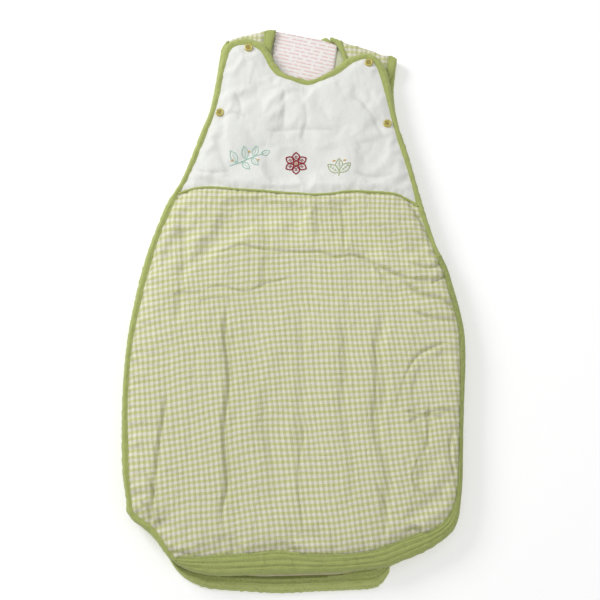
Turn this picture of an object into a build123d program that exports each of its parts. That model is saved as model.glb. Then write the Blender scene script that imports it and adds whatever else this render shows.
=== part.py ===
from build123d import *
import os
import numpy as np

# Baby sleeping bag, lying flat and closed on its back. Millimetres.
# X runs across the bag, Y along it with the head end at +Y, Z up from the surface it lies on.
# The origin is the centre of the bounding box, at the underside.

# ---- driving dimensions ----
BACK_CLOTH = 1.0          # outer cloth of the back panel
BACK_WAD_TOP = 8.0        # top of the back wadding
BACK_TOP = 9.0            # top of the back lining
FRONT_BOTTOM = 16.0       # underside of the front lining
FRONT_LINING = 1.0
FRONT_CLOTH = 1.0
TOP = 25.0                # top of the front cloth, and the height of the fold and tab axes
TAB_BOTTOM = 18.0         # underside of the shoulder tabs
TAB_LINING = 0.8
STRAP_BOTTOM = 9.3        # underside of the folded-over strap layer
STRAP_TOP = 15.6
BAND_BACK_TOP = 6.5       # top of the back gusset band
TAPE = 0.6                # zip tape thickness
COIL_W = 1.8              # width of the zip coil in plan
COIL_FRONT = (12.0, 13.8) # heights of the two coil halves
COIL_BACK = (9.2, 11.0)
ZIP_INSET = 5.0           # zip centre line, inwards from the front band's edge
FOLD_GAP = 0.6            # clearance on each side of the fold line
TAB_GAP = 0.6
CAP_R = 5.5               # press fastener cap
CAP_H = 2.2
POST_R = 2.0
SOCKET_R = 4.5
SOCKET_BORE = 2.45
STUD_R = 1.7
STUD_BASE_R = 4.2
LABEL_T = 0.25
PIPING_W = 3.6
PIPING_H = 1.8
PIPING_INSET = 4.2        # the piping starts this far from the fold line, so that it stays clear when the front is folded back
STITCH_H = 0.8            # height of the embroidered threads
STEP = 9.0                # spacing of the points along the edges

# ---- edge lines in plan (x, y) ----
# FO_ outer and FI_ inner edge of the front's bindings and band; BO_ and BI_ the same for the back.
FO_TAB_L = [
    (-104.5, 261), (-101.9, 276.6), (-98.8, 293.8), (-96.5, 308.2), (-95.6, 318.3), (-91.7, 327.7), (-85.3,
    332.8), (-75, 336.3), (-65.8, 337.5), (-55.4, 336), (-46.2, 332.2), (-40.4, 328.2), (-35.7, 320.5), (-31,
    312.9), (-27.7, 305.3), (-21.2, 295.2),
]
FO_NECK = [
    (-21.2, 295.2), (-17.3, 290.2), (-10.8, 285.2), (-0.5, 281.8), (7.3, 280.1), (15, 277.6), (22.7, 278.3),
    (31.8, 282.6), (44.8, 290.2),
]
FO_TAB_R = [
    (44.8, 290.2), (53.9, 296.7), (63, 305.3), (70.9, 310), (80, 313.1), (89.2, 315.1), (98.2, 314.7), (107.2,
    308.9), (113.5, 301), (118.5, 290.9), (121.5, 276.6), (123.9, 261),
]
FO_ARM_R = [
    (123.9, 261), (125.5, 246.9), (129.1, 228.7), (133, 207.9), (138.1, 191.4), (143.4, 172.2), (151.7, 137.1),
    (159.4, 105.1), (167, 76.3), (175.2, 49), (180.9, 37.4),
]
FO_ZIP = [
    (180.9, 37.4), (185.4, 27.2), (190.2, 10.7), (194.5, -8.3), (200.3, -33.2), (203.6, -55.5), (204.1, -77.5),
    (202.9, -102.9), (199.8, -139.9), (196.5, -186.7), (193.7, -232.5), (191.2, -253.9), (187.4, -275), (181.2,
    -288.3), (168.8, -299.3), (151.5, -310.2), (133.9, -317.9), (118.4, -323.6), (105.9, -328.7), (81.2, -331.7),
    (56.4, -334.5), (46.3, -335.2), (11.1, -336.2), (-18.7, -337), (-47.8, -337.8), (-73.6, -338.6), (-83.6,
    -338.8), (-99.4, -337.5), (-115.1, -334.1), (-124.2, -330.8), (-130.6, -327.6),
]
FO_CORNER = [
    (-131.1, -327.6), (-135.7, -324.4), (-144.9, -316.8), (-153.2, -305.9), (-162.7, -294.9), (-173.3, -286.1),
    (-186.2, -276.7), (-192.3, -268.4), (-194.1, -253.9),
]
FO_SIDE_L = [
    (-194.1, -253.9), (-199.3, -226.8), (-201.9, -198.2), (-203.3, -169.3), (-204.1, -139.9), (-203.7, -102.9),
    (-201, -60.4), (-196.2, -25.8), (-189.3, 13.2), (-180.5, 49), (-169.5, 82.8), (-160.5, 107.8), (-144.1,
    137.1), (-127.9, 181.8), (-120.3, 205.1), (-113.8, 221.8),
]
FO_ARM_L = [
    (-113.8, 221.8), (-110.2, 232.2), (-106.8, 247.6), (-104.5, 261),
]
FI_TAB_L = [
    (-96.2, 264.4), (-95, 272.4), (-92.3, 290.9), (-87.5, 311.1), (-85.5, 316.8), (-80.6, 323.2), (-71.5, 326.6),
    (-65.7, 327.2), (-55.2, 324.8), (-46, 318.3), (-40.2, 308.9), (-35.5, 298.8), (-31.1, 291.1),
]
FI_NECK = [
    (-31.1, 291.1), (-26.3, 285.2), (-18.5, 280.5), (-6.9, 275.9), (6, 271.4), (16.3, 269.1), (25.3, 271.7),
    (35.6, 275.5), (47.3, 280.9), (55.7, 285.9),
]
FI_TAB_R = [
    (55.7, 285.9), (60.3, 289.1), (66.8, 294.9), (72, 299.1), (78.6, 303), (85.9, 305.3), (94.2, 306.2), (99.3,
    303.8), (103.5, 298.1), (108.3, 286.6), (112, 272.4), (113.7, 264.8),
]
FI_ARM_R = [
    (113.7, 264.8), (115.5, 256.8), (118.6, 241.7), (122, 225.1), (125.4, 209.3), (130, 191.4), (136.9, 166.1),
    (144.6, 137.1), (151.3, 105.1), (160.2, 76.3), (168.6, 49), (173.5, 34.9),
]
FI_ZIP = [
    (173.5, 34.9), (178, 24.7), (182.3, 10.7), (186.4, -7), (191.9, -29.5), (196.1, -50.6), (196.7, -77.5),
    (196.2, -106.5), (194.3, -139.9), (191.3, -186.7), (187.9, -232.5), (185.6, -247.1), (183.1, -257.2), (179,
    -266.8), (172.6, -276.2), (160.9, -285.6), (139.6, -293.5), (118.8, -300.1), (101.9, -307), (81.5, -312),
    (57.5, -314.6), (21.3, -315.2), (-1.9, -313), (-18.8, -311.5), (-43.6, -313.5), (-80.8, -315.5), (-110,
    -317.5), (-134.7, -318.7),
]
FI_CORNER = [
    (-134.7, -318.7), (-141.8, -310.8), (-151.9, -296.6), (-162, -284.5), (-173.7, -276.5), (-182.5, -270.6),
    (-186.3, -261.7), (-187.6, -253.9),
]
FI_SIDE_L = [
    (-187.6, -253.9), (-191.3, -226.8), (-193.6, -198.2), (-195.5, -169.3), (-196.7, -139.9), (-196.6, -107.7),
    (-194.1, -69), (-189.9, -40.7), (-184.1, -8.3), (-177.6, 23.4), (-169.7, 55.5), (-162.5, 77.6), (-155.1,
    95.9), (-147.1, 115.7), (-135.4, 138.4), (-119.1, 181.8), (-111.7, 203.7), (-106.1, 219.5),
]
FI_ARM_L = [
    (-106.1, 219.5), (-101.2, 238.5), (-97.9, 251.8), (-96.2, 264.4),
]
PIPING = [
    (-146, 119.1), (-141.6, 121.1), (-126.5, 125.3), (-107.6, 127.2), (-90.1, 125.9), (-67.6, 123.6), (-48.3,
    122.5), (-28.9, 121.1), (-10.2, 119.3), (6, 118.4), (17.2, 117.1), (30.9, 117.3), (47.6, 118.4), (62.1,
    120.8), (77.6, 121.2), (93.2, 120.3), (108.8, 119.7), (126.5, 117.3), (137.5, 112.3), (146.4, 107.8), (152.4,
    102.5),
]
BO_FOLD_L = [
    (-98.3, 326.1), (-95.3, 333.7), (-88.9, 340.3), (-78.4, 345.2), (-65.3, 349), (-52.1, 352), (-41.6, 354.4),
    (-33.7, 356.1), (-26, 356.4),
]
BO_NECK = [
    (-26.2, 357.7), (-21.9, 349.6), (-13.9, 340.7), (-3.3, 334.8), (7.3, 332.5), (17.9, 334), (27.1, 338.7),
    (36.4, 343.7), (45.7, 347),
]
BO_FOLD_R = [
    (45.6, 345.2), (53.4, 342.8), (61.3, 339.9), (69.2, 336.3), (79.7, 333.4), (92.7, 329), (103.2, 325.2), (111,
    321.1), (116.2, 318.5), (125.3, 317.9), (133.1, 314.4),
]
BO_ARM_R = [
    (133.6, 315), (133, 309.9), (130.7, 290.1), (128.5, 269.9), (129.3, 249.4), (131.6, 229.5), (136.4, 202.9),
    (144, 175.1), (152.4, 139.6), (160.2, 107.2), (168, 79.3), (175.7, 50.4),
]
BO_ZIP = [
    (175.7, 50.4), (184.1, 27), (190.1, 7.7), (196.3, -20.3), (200.5, -49.2), (200.9, -76.6), (198.2, -137.4),
    (194.7, -196.6), (190.3, -242.7), (185.3, -264.3), (177.1, -281.8), (162.1, -296.3), (143.4, -308), (126,
    -316.3), (115.5, -321.8), (109.1, -328.4), (108.4, -334.4), (104.8, -340.4), (100.1, -346.4), (94.4, -350.7),
    (86.4, -352.9), (62.6, -354.4), (23, -355.9), (-16.6, -357.7), (-50.6, -356.1), (-84.6, -354), (-101.7,
    -351.8), (-118.8, -345.3), (-128.1, -339.4), (-134.4, -333.7),
]
BO_ARM_L = [
    (-113, 233.8), (-109.6, 250.8), (-106.6, 267.9), (-104.1, 285.2), (-101.9, 302.6), (-100.1, 317.2), (-98.8,
    327.5),
]
BI_ARM_L = [
    (-104.2, 233.8), (-100.5, 250.8), (-97.5, 267.9), (-95.2, 283.8), (-92.4, 301.2), (-89.6, 317.2), (-87.7,
    327.5),
]
BI_FOLD_L = [
    (-87.8, 330.4), (-83.9, 335.4), (-74.7, 339.6), (-62.9, 343.7), (-49.7, 347.3), (-39.1, 349.3), (-32.5,
    349.6),
]
BI_NECK = [
    (-32.4, 347.4), (-25.8, 339.3), (-16.5, 331), (-4.6, 325.4), (7.3, 323.4), (19.2, 324.8), (31.1, 330.4),
    (41.7, 336.3), (49.6, 338.4),
]
BI_FOLD_R = [
    (52.2, 337.2), (66.7, 331.6), (79.9, 327.2), (93, 322.8), (106, 317.2), (116.5, 312.2), (122.3, 309),
]
BI_ARM_R = [
    (122.2, 307), (121.2, 292.4), (120.2, 272.2), (121.6, 252.2), (123.9, 230.9), (128.7, 204.3), (136.3, 175.1),
    (144.8, 139.6), (152.6, 107.2), (160.5, 79.3), (168.2, 50.4),
]
BI_ZIP = [
    (168.2, 50.4), (176.1, 27), (182.6, 5.1), (188.9, -22.9), (193.1, -51.7), (193.7, -76.6), (191.1, -137.4),
    (187.6, -196.6), (183.4, -240.5), (178.6, -257.5), (169.9, -273.9), (156.7, -287.4), (139.1, -298.5), (121.7,
    -306.3), (108.9, -312.4), (97.4, -316.3), (74.5, -319.6), (40.2, -321.8), (6, -322.9), (-28.2, -323.2),
    (-62.5, -323.2), (-91, -322.9), (-110.4, -321.9), (-124.1, -321.2), (-134.4, -320.1),
]
LABEL = [
    (-26.4, 354.4), (32.4, 342.4), (55.6, 334.5), (47.7, 274.9), (-33.3, 289.3),
]
STRAP_L = [
    (-26, 354.7), (-27.5, 345.7), (-30, 335.4), (-32.1, 323.7), (-32.5, 312), (-35.8, 303.3), (-48.8, 298.2),
    (-72.3, 298.2), (-86.8, 304), (-94, 314.9), (-98.2, 324.3),
]
STRAP_L_BIND = [
    (-40.2, 356.1), (-45.6, 298.2),
]
STRAP_L_BIND2 = [
    (-88.2, 353.1), (-86.8, 280.2),
]
STRAP_R = [
    (132.9, 312.6), (131.3, 300.4), (125.1, 286.7), (117.7, 279.5), (102.2, 280.2), (78.9, 286.7), (67.2, 294.6),
    (64.1, 303.3), (63, 312), (60.4, 320.8), (56.9, 328.4), (52.7, 336), (46, 342.8),
]
STRAP_R_BIND = [
    (60.7, 338.5), (75.6, 288.9),
]
STRAP_R_BIND2 = [
    (123.4, 320.8), (115.1, 277.4),
]
POPPERS = [
    (-60.8, 321.5), (95.2, 299.9), (-96.2, 229.3), (117.1, 213.9),
]
MOTIF = [
    (-61.3, 166.5), (1, 160), (54.9, 153),
]
AXIS_F = [
    (-107.6, 335.7), (-132.2, -327.6),
]
BASE_L = [
    (-104.5, 261), (-21.2, 295.2),
]
BASE_R = [
    (44.8, 290.2), (123.9, 261),
]


# ---- plan geometry helpers ----
def smooth(pts, step=STEP):
    """Curve through the points, sampled at about the given spacing."""
    p = np.array(pts, float)
    q = np.vstack([2 * p[0] - p[1], p, 2 * p[-1] - p[-2]])
    out = []
    for i in range(1, len(q) - 2):
        a, b, c, d = q[i - 1], q[i], q[i + 1], q[i + 2]
        ta = max(np.linalg.norm(b - a), 1e-6) ** 0.5
        tb = max(np.linalg.norm(c - b), 1e-6) ** 0.5
        tc = max(np.linalg.norm(d - c), 1e-6) ** 0.5
        m1 = (c - b) / tb - (c - a) / (ta + tb) + (b - a) / ta
        m2 = (d - c) / tc - (d - b) / (tb + tc) + (c - b) / tb
        m1, m2 = m1 * tb, m2 * tb
        n = max(1, int(round(np.linalg.norm(c - b) / step)))
        for k in range(n):
            t = k / n
            out.append((2 * t**3 - 3 * t**2 + 1) * b + (t**3 - 2 * t**2 + t) * m1
                       + (-2 * t**3 + 3 * t**2) * c + (t**3 - t**2) * m2)
    out.append(p[-1])
    return np.array(out)


def clean(poly, tol=0.05):
    out = []
    for p in poly:
        if not out or np.hypot(p[0] - out[-1][0], p[1] - out[-1][1]) > tol:
            out.append((float(p[0]), float(p[1])))
    while len(out) > 2 and np.hypot(out[0][0] - out[-1][0], out[0][1] - out[-1][1]) <= tol:
        out.pop()
    return out


def clip(poly, p, n, d=0.0):
    """The part of a polygon on the side of the line through p that n points to, d beyond it."""
    p, n = np.array(p, float), np.array(n, float)
    n = n / np.linalg.norm(n)
    s = [float((np.array(q) - p) @ n - d) for q in poly]
    out = []
    for i in range(len(poly)):
        a, b = np.array(poly[i]), np.array(poly[(i + 1) % len(poly)])
        sa, sb = s[i], s[(i + 1) % len(poly)]
        if sa >= 0:
            out.append(a)
        if (sa >= 0) != (sb >= 0):
            out.append(a + (b - a) * sa / (sa - sb))
    return clean(out)


def slab(poly, z0, z1):
    pts = [(x, y, z0) for x, y in clean(poly)]
    face = make_face(Polyline(*pts, close=True))
    return extrude(face, amount=z1 - z0, dir=(0, 0, 1))


def disc(x, y, r, z0, z1):
    return Pos(x, y, (z0 + z1) / 2) * Cylinder(r, z1 - z0)


def offset_line(line, d):
    """A line moved d to the right of its direction of travel."""
    p = np.array(line, float)
    t = np.gradient(p, axis=0)
    t /= np.linalg.norm(t, axis=1)[:, None]
    return p + np.stack([t[:, 1], -t[:, 0]], 1) * d


def ribbon(line, w0, w1, z0, z1):
    """A strip that follows a line, from w0 to w1 to its right."""
    a, b = offset_line(line, w0), offset_line(line, w1)
    return slab(list(a) + list(b[::-1]), z0, z1)


def ring(outer, inner):
    return clean(list(outer) + list(inner)[::-1])


def save(name, shape):
    export_step(shape, "parts/" + name + ".step")


def group(*shapes):
    return Compound(children=[s for shape in shapes for s in shape.solids()])


os.makedirs("parts", exist_ok=True)

C = {k: smooth(v) for k, v in dict(
    FO_TAB_L=FO_TAB_L, FO_NECK=FO_NECK, FO_TAB_R=FO_TAB_R, FO_ARM_R=FO_ARM_R, FO_ZIP=FO_ZIP,
    FO_CORNER=FO_CORNER, FO_SIDE_L=FO_SIDE_L, FO_ARM_L=FO_ARM_L,
    FI_TAB_L=FI_TAB_L, FI_NECK=FI_NECK, FI_TAB_R=FI_TAB_R, FI_ARM_R=FI_ARM_R, FI_ZIP=FI_ZIP,
    FI_CORNER=FI_CORNER, FI_SIDE_L=FI_SIDE_L, FI_ARM_L=FI_ARM_L, PIPING=PIPING,
    BO_FOLD_L=BO_FOLD_L, BO_NECK=BO_NECK, BO_FOLD_R=BO_FOLD_R, BO_ARM_R=BO_ARM_R, BO_ZIP=BO_ZIP,
    BO_ARM_L=BO_ARM_L, BI_ARM_L=BI_ARM_L, BI_FOLD_L=BI_FOLD_L, BI_NECK=BI_NECK, BI_FOLD_R=BI_FOLD_R,
    BI_ARM_R=BI_ARM_R, BI_ZIP=BI_ZIP, STRAP_L=STRAP_L, STRAP_R=STRAP_R).items()}


def path(*names):
    return [tuple(p) for n in names for p in C[n]]


AX0, AX1 = np.array(AXIS_F[0]), np.array(AXIS_F[1])
AXD = (AX1 - AX0) / np.linalg.norm(AX1 - AX0)
RIGHT = np.array([-AXD[1], AXD[0]])          # from the fold line towards the moving front
BL0, BL1 = np.array(BASE_L[0]), np.array(BASE_L[1])
BR0, BR1 = np.array(BASE_R[0]), np.array(BASE_R[1])
UP_L = np.array([-(BL1 - BL0)[1], (BL1 - BL0)[0]])
UP_R = np.array([-(BR1 - BR0)[1], (BR1 - BR0)[0]])
SH_L, SH_R, UA_L, UA_R = POPPERS

# ---- back panel: cloth, wadding, lining ----
back_poly = clean(path("FI_CORNER", "FI_SIDE_L", "BI_ARM_L", "BI_FOLD_L", "BI_NECK", "BI_FOLD_R", "BI_ARM_R", "BI_ZIP"))
save("back_outer_panel", slab(back_poly, 0, BACK_CLOTH))
save("back_wadding", slab(back_poly, BACK_CLOTH, BACK_WAD_TOP))
save("back_lining", slab(back_poly, BACK_WAD_TOP, BACK_TOP))

# ---- bindings round the back's neck and armholes ----
fold_l = slab(ring(C["BO_FOLD_L"], C["BI_FOLD_L"]), 0, STRAP_BOTTOM)
fold_r = slab(ring(C["BO_FOLD_R"], C["BI_FOLD_R"]), 0, STRAP_BOTTOM)
back_block = slab(back_poly, -1, BACK_TOP + 1)


def largest(shape):
    return sorted(shape.solids(), key=lambda s: s.volume)[-1]


save("back_neck_binding", largest(slab(ring(C["BO_NECK"], C["BI_NECK"]), 0, BACK_TOP) - fold_l - fold_r - back_block))
save("back_armhole_binding_right", largest(slab(ring(C["BO_ARM_R"], C["BI_ARM_R"]), 0, BACK_TOP) - fold_r - back_block))
arm_l_out = [C["FO_SIDE_L"][-1]] + list(C["BO_ARM_L"])
arm_l_in = [C["FI_SIDE_L"][-1]] + list(C["BI_ARM_L"])
save("back_armhole_binding_left", largest(slab(ring(arm_l_out, arm_l_in), 0, BACK_TOP) - fold_l - back_block))

# ---- shoulder straps, folded forward over the shoulder line ----
strap_l = clean(list(C["BO_FOLD_L"]) + list(C["STRAP_L"]))
strap_r = clean(list(C["BO_FOLD_R"]) + list(C["STRAP_R"]))


def side(line):
    """A point on a line and its normal towards +X."""
    a, b = np.array(line[0]), np.array(line[1])
    n = np.array([-(b - a)[1], (b - a)[0]])
    return a, n if n[0] > 0 else -n


pa, na = side(STRAP_L_BIND)
pb, nb = side(STRAP_L_BIND2)
body_l = slab(clip(clip(strap_l, pa, -na), pb, nb), STRAP_BOTTOM, STRAP_TOP)
save("strap_left", (fold_l - back_block) + body_l)
save("strap_binding_left", group(slab(clip(strap_l, pa, na), STRAP_BOTTOM, STRAP_TOP),
                                 slab(clip(strap_l, pb, -nb), STRAP_BOTTOM, STRAP_TOP)))
pc, nc = side(STRAP_R_BIND)
pd, nd = side(STRAP_R_BIND2)
body_r = slab(clip(clip(strap_r, pc, nc), pd, -nd), STRAP_BOTTOM, STRAP_TOP)
save("strap_right", (fold_r - back_block) + body_r)
save("strap_binding_right", group(slab(clip(strap_r, pc, -nc), STRAP_BOTTOM, STRAP_TOP),
                                  slab(clip(strap_r, pd, nd), STRAP_BOTTOM, STRAP_TOP)))

# ---- care label, a thin sheet on the back lining at the neck ----
save("care_label", slab(LABEL, BACK_TOP + 0.05, BACK_TOP + 0.05 + LABEL_T))

# ---- left side: binding over the sewn seam, and the part of the front that stays sewn ----
side_ring = ring(path("FO_CORNER", "FO_SIDE_L"), path("FI_CORNER", "FI_SIDE_L"))
side_binding = slab(clip(side_ring, AX0, -RIGHT, FOLD_GAP), 0, TOP)
save("left_side_binding", largest(side_binding - back_block))
front_poly = clean(path("FI_NECK")
                   + path("FI_ARM_R", "FI_ZIP", "FI_CORNER", "FI_SIDE_L", "FI_ARM_L"))
margin_poly = clip(front_poly, AX0, -RIGHT, FOLD_GAP)
save("front_side_margin", slab(margin_poly, FRONT_BOTTOM, TOP))

# ---- front panel: lining, wadding, cloth below the seam, yoke above it ----
main_poly = clip(front_poly, AX0, RIGHT, FOLD_GAP)


def split_by_piping(poly, keep_above):
    """Cuts the front along the yoke seam, using a closed region above it."""
    line = C["PIPING"]
    region = [(line[0][0] - 60, line[0][1])] + list(line) + [(line[-1][0] + 60, line[-1][1]),
              (line[-1][0] + 60, line[-1][1] + 260), (line[0][0] - 60, line[0][1] + 260)]
    whole = slab(poly, TOP - FRONT_CLOTH, TOP)
    cutter = slab(region, TOP - FRONT_CLOTH - 1, TOP + 1)
    return (whole & cutter) if keep_above else (whole - cutter)


def pierce(shape, points, z0, z1, r=POST_R):
    for x, y in points:
        shape = shape - disc(x, y, r, z0 - 1, z1 + 1)
    return shape


save("front_lining", pierce(slab(main_poly, FRONT_BOTTOM, FRONT_BOTTOM + FRONT_LINING), [UA_L, UA_R], FRONT_BOTTOM, FRONT_BOTTOM + 1, SOCKET_BORE + 0.55))
save("front_wadding", pierce(slab(main_poly, FRONT_BOTTOM + FRONT_LINING, TOP - FRONT_CLOTH), [UA_L, UA_R], FRONT_BOTTOM, TOP))
save("front_outer_panel", split_by_piping(main_poly, False))
save("yoke_panel", pierce(split_by_piping(main_poly, True), [UA_L, UA_R], TOP - 1, TOP))
pip = clip(clean(list(offset_line(C["PIPING"], -PIPING_W / 2)) + list(offset_line(C["PIPING"], PIPING_W / 2)[::-1])),
           AX0, RIGHT, PIPING_INSET)
save("yoke_piping", slab(pip, TOP, TOP + PIPING_H))

# ---- front bindings and band ----
save("front_neck_binding", slab(ring(C["FO_NECK"], C["FI_NECK"]), FRONT_BOTTOM, TOP))
save("front_armhole_binding_right", slab(ring(C["FO_ARM_R"], C["FI_ARM_R"]), FRONT_BOTTOM, TOP))
arm_ring = ring(path("FO_SIDE_L", "FO_ARM_L")[-12:], path("FI_SIDE_L", "FI_ARM_L")[-12:])
save("front_armhole_binding_left", slab(clip(arm_ring, AX0, RIGHT, FOLD_GAP), FRONT_BOTTOM, TOP))
band_front = clip(ring(C["FO_ZIP"], C["FI_ZIP"]), AX0, RIGHT, FOLD_GAP)
save("zip_band_front", slab(band_front, FRONT_BOTTOM, TOP))
save("zip_band_back", largest(slab(ring(C["BO_ZIP"], C["BI_ZIP"]), 0, BAND_BACK_TOP) - back_block - side_binding))

# ---- zip: straight along the middle of the foot end, curved round the corner and up the right side ----
edge = C["FO_ZIP"]
zip_line = offset_line(edge, ZIP_INSET)
S_LEFT, S_RIGHT = np.array(FO_ZIP[-5]), np.array(FO_ZIP[-10])   # ends of the straight stretch
SDIR = (S_RIGHT - S_LEFT) / np.linalg.norm(S_RIGHT - S_LEFT)   # slide direction, towards +X
OUT = np.array([SDIR[1], -SDIR[0]])                            # outwards, towards the foot end
P_LEFT, P_RIGHT = S_LEFT - OUT * ZIP_INSET, S_RIGHT - OUT * ZIP_INSET
bottom = zip_line[:, 1] < P_RIGHT[1] + 30
keep = []
done = False
for q, low in zip(zip_line, bottom):
    s = (q - P_LEFT) @ SDIR
    if low and -2 < s < np.linalg.norm(P_RIGHT - P_LEFT) + 2:
        if not done:
            keep += [P_RIGHT, (P_RIGHT + P_LEFT) / 2, P_LEFT]
            done = True
        continue
    keep.append(q)
zip_line = np.array(keep)[1:-2]
save("zip_coil_front", ribbon(zip_line, -COIL_W / 2, COIL_W / 2, *COIL_FRONT))
save("zip_coil_back", ribbon(zip_line, -COIL_W / 2, COIL_W / 2, *COIL_BACK))
save("zip_tape_front", ribbon(zip_line, -TAPE / 2, TAPE / 2, COIL_FRONT[1], FRONT_BOTTOM - TAPE)
     + ribbon(zip_line, -TAPE / 2, 6.0, FRONT_BOTTOM - TAPE, FRONT_BOTTOM))
save("zip_tape_back", largest(ribbon(zip_line, -TAPE / 2, TAPE / 2, BAND_BACK_TOP + TAPE, COIL_BACK[0])
     + ribbon(zip_line, -TAPE / 2, 5.0, BAND_BACK_TOP, BAND_BACK_TOP + TAPE) - back_block))


def local_box(origin, along, s0, s1, n0, n1, z0, z1):
    """A block in the frame of a line: s along it, n to its right."""
    a = np.array(along) / np.linalg.norm(along)
    nrm = np.array([a[1], -a[0]])
    o = np.array(origin)
    pts = [o + a * s + nrm * n for s, n in ((s0, n0), (s1, n0), (s1, n1), (s0, n1))]
    return slab(pts, z0, z1)


e0, e1 = zip_line[-1], zip_line[-1] - zip_line[-2]
save("zip_end_stop", local_box(e0, e1, 0.3, 3.3, -1.6, 1.6, 7.8, 11.3))
t0, t1 = zip_line[0], zip_line[0] - zip_line[1]
save("zip_top_stop_front", local_box(t0, t1, 0.3, 3.3, -1.4, 1.4, 11.8, 14.0))
save("zip_top_stop_back", local_box(t0, t1, 0.3, 3.3, -1.4, 1.4, 9.0, 11.2))

# slider: two plates joined by a thin web that passes between the coils, with a bail on the outer plate
SL0 = P_LEFT + SDIR * 12.0
slider = (local_box(SL0, SDIR, -5.5, 5.5, 1.3, 2.5, 7.6, 15.0)
          + local_box(SL0, SDIR, -5.5, 5.5, -2.5, -1.3, 7.6, 15.0)
          + local_box(SL0, SDIR, -5.0, -1.5, -1.4, 1.4, 11.25, 11.75)
          + local_box(SL0, SDIR, -1.2, 1.2, 2.4, 5.2, 9.0, 10.0)
          + local_box(SL0, SDIR, -1.2, 1.2, 2.4, 5.2, 13.0, 14.0))
PIN = SL0 + OUT * 4.3
slider = slider + disc(PIN[0], PIN[1], 0.6, 9.0, 14.0)
save("zip_slider", slider)
puller = (disc(PIN[0], PIN[1], 1.45, 10.3, 12.7)
          + local_box(PIN, SDIR, 1.0, 3.4, -0.6, 0.6, 10.3, 12.7)
          + local_box(PIN, SDIR, 2.4, 22.0, -0.6, 0.6, 9.4, 13.6))
puller = puller - disc(PIN[0], PIN[1], 0.85, 10.0, 13.0)
save("zip_puller", puller)

# ---- shoulder tabs of the front ----
for name, tab_names, p, n in (("left", ("FO_TAB_L", "FI_TAB_L"), BL0, UP_L), ("right", ("FO_TAB_R", "FI_TAB_R"), BR0, UP_R)):
    cx, cy = SH_L if name == "left" else SH_R
    inner = clip(clean(C[tab_names[1]]), p, n, TAB_GAP)
    outer = clip(ring(C[tab_names[0]], C[tab_names[1]]), p, n, TAB_GAP)
    save("tab_lining_" + name, pierce(slab(inner, TAB_BOTTOM, TAB_BOTTOM + TAB_LINING), [(cx, cy)], TAB_BOTTOM, TAB_BOTTOM + 1, SOCKET_BORE + 0.55))
    save("tab_wadding_" + name, pierce(slab(inner, TAB_BOTTOM + TAB_LINING, TOP - FRONT_CLOTH), [(cx, cy)], TAB_BOTTOM, TOP))
    save("tab_outer_" + name, pierce(slab(inner, TOP - FRONT_CLOTH, TOP), [(cx, cy)], TOP - 1, TOP))
    save("tab_binding_" + name, slab(outer, TAB_BOTTOM, TOP))


# ---- press fasteners ----
def cap(x, y, z_under):
    """Cap, post through the padding, and socket ring under it."""
    c = disc(x, y, CAP_R, TOP, TOP + CAP_H)
    c = chamfer(c.faces().sort_by(Axis.Z)[-1].edges(), 0.7)
    c = c - disc(x, y, 2.4, TOP + CAP_H - 0.8, TOP + CAP_H + 1)
    post = disc(x, y, POST_R, z_under + 1.6, TOP)
    sock = disc(x, y, SOCKET_R, z_under - 1.2, z_under) - disc(x, y, SOCKET_BORE, z_under - 2, z_under + 1)
    wall = disc(x, y, SOCKET_BORE + 0.55, z_under, z_under + 0.8) - disc(x, y, SOCKET_BORE, z_under - 1, z_under + 2)
    return c, post, sock, wall


for name, (x, y), under in (("shoulder_cap_left", SH_L, TAB_BOTTOM), ("shoulder_cap_right", SH_R, TAB_BOTTOM),
                            ("underarm_cap_left", UA_L, FRONT_BOTTOM), ("underarm_cap_right", UA_R, FRONT_BOTTOM)):
    head, post, sock, wall = cap(x, y, under)
    roof = disc(x, y, POST_R, under + 0.8, under + 1.6)
    save(name, group(head + post + roof, sock + wall))

for name, (x, y) in (("shoulder_stud_left", SH_L), ("shoulder_stud_right", SH_R)):
    save(name, disc(x, y, STUD_BASE_R, STRAP_TOP, STRAP_TOP + 0.8) + disc(x, y, STUD_R, STRAP_TOP + 0.8, TAB_BOTTOM - 0.4))
for name, (x, y) in (("underarm_stud_left", UA_L), ("underarm_stud_right", UA_R)):
    save(name, disc(x, y, STUD_BASE_R, BACK_TOP, BACK_TOP + 0.8) + disc(x, y, STUD_R, BACK_TOP + 0.8, FRONT_BOTTOM - 0.4))


# ---- embroidered motifs on the yoke: raised thread shapes ----
def petal(cx, cy, length, width, angle):
    a = np.radians(angle)
    ux, uy = np.cos(a), np.sin(a)
    pts = []
    for t in np.linspace(0, 1, 9):
        pts.append((t * length, width / 2 * np.sin(np.pi * t)))
    for t in np.linspace(1, 0, 9)[1:-1]:
        pts.append((t * length, -width / 2 * np.sin(np.pi * t)))
    return [(cx + s * ux - w * uy, cy + s * uy + w * ux) for s, w in pts]


m1, m2, m3 = [np.array(m) for m in MOTIF]
def stem(c, x0, y0, x1, y1, w):
    d = np.array([x1 - x0, y1 - y0], float)
    d /= np.hypot(*d)
    n = np.array([-d[1], d[0]]) * w / 2
    p, q = c + np.array([x0, y0]), c + np.array([x1, y1])
    return [tuple(p + n), tuple(q + n), tuple(q - n), tuple(p - n)]


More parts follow.
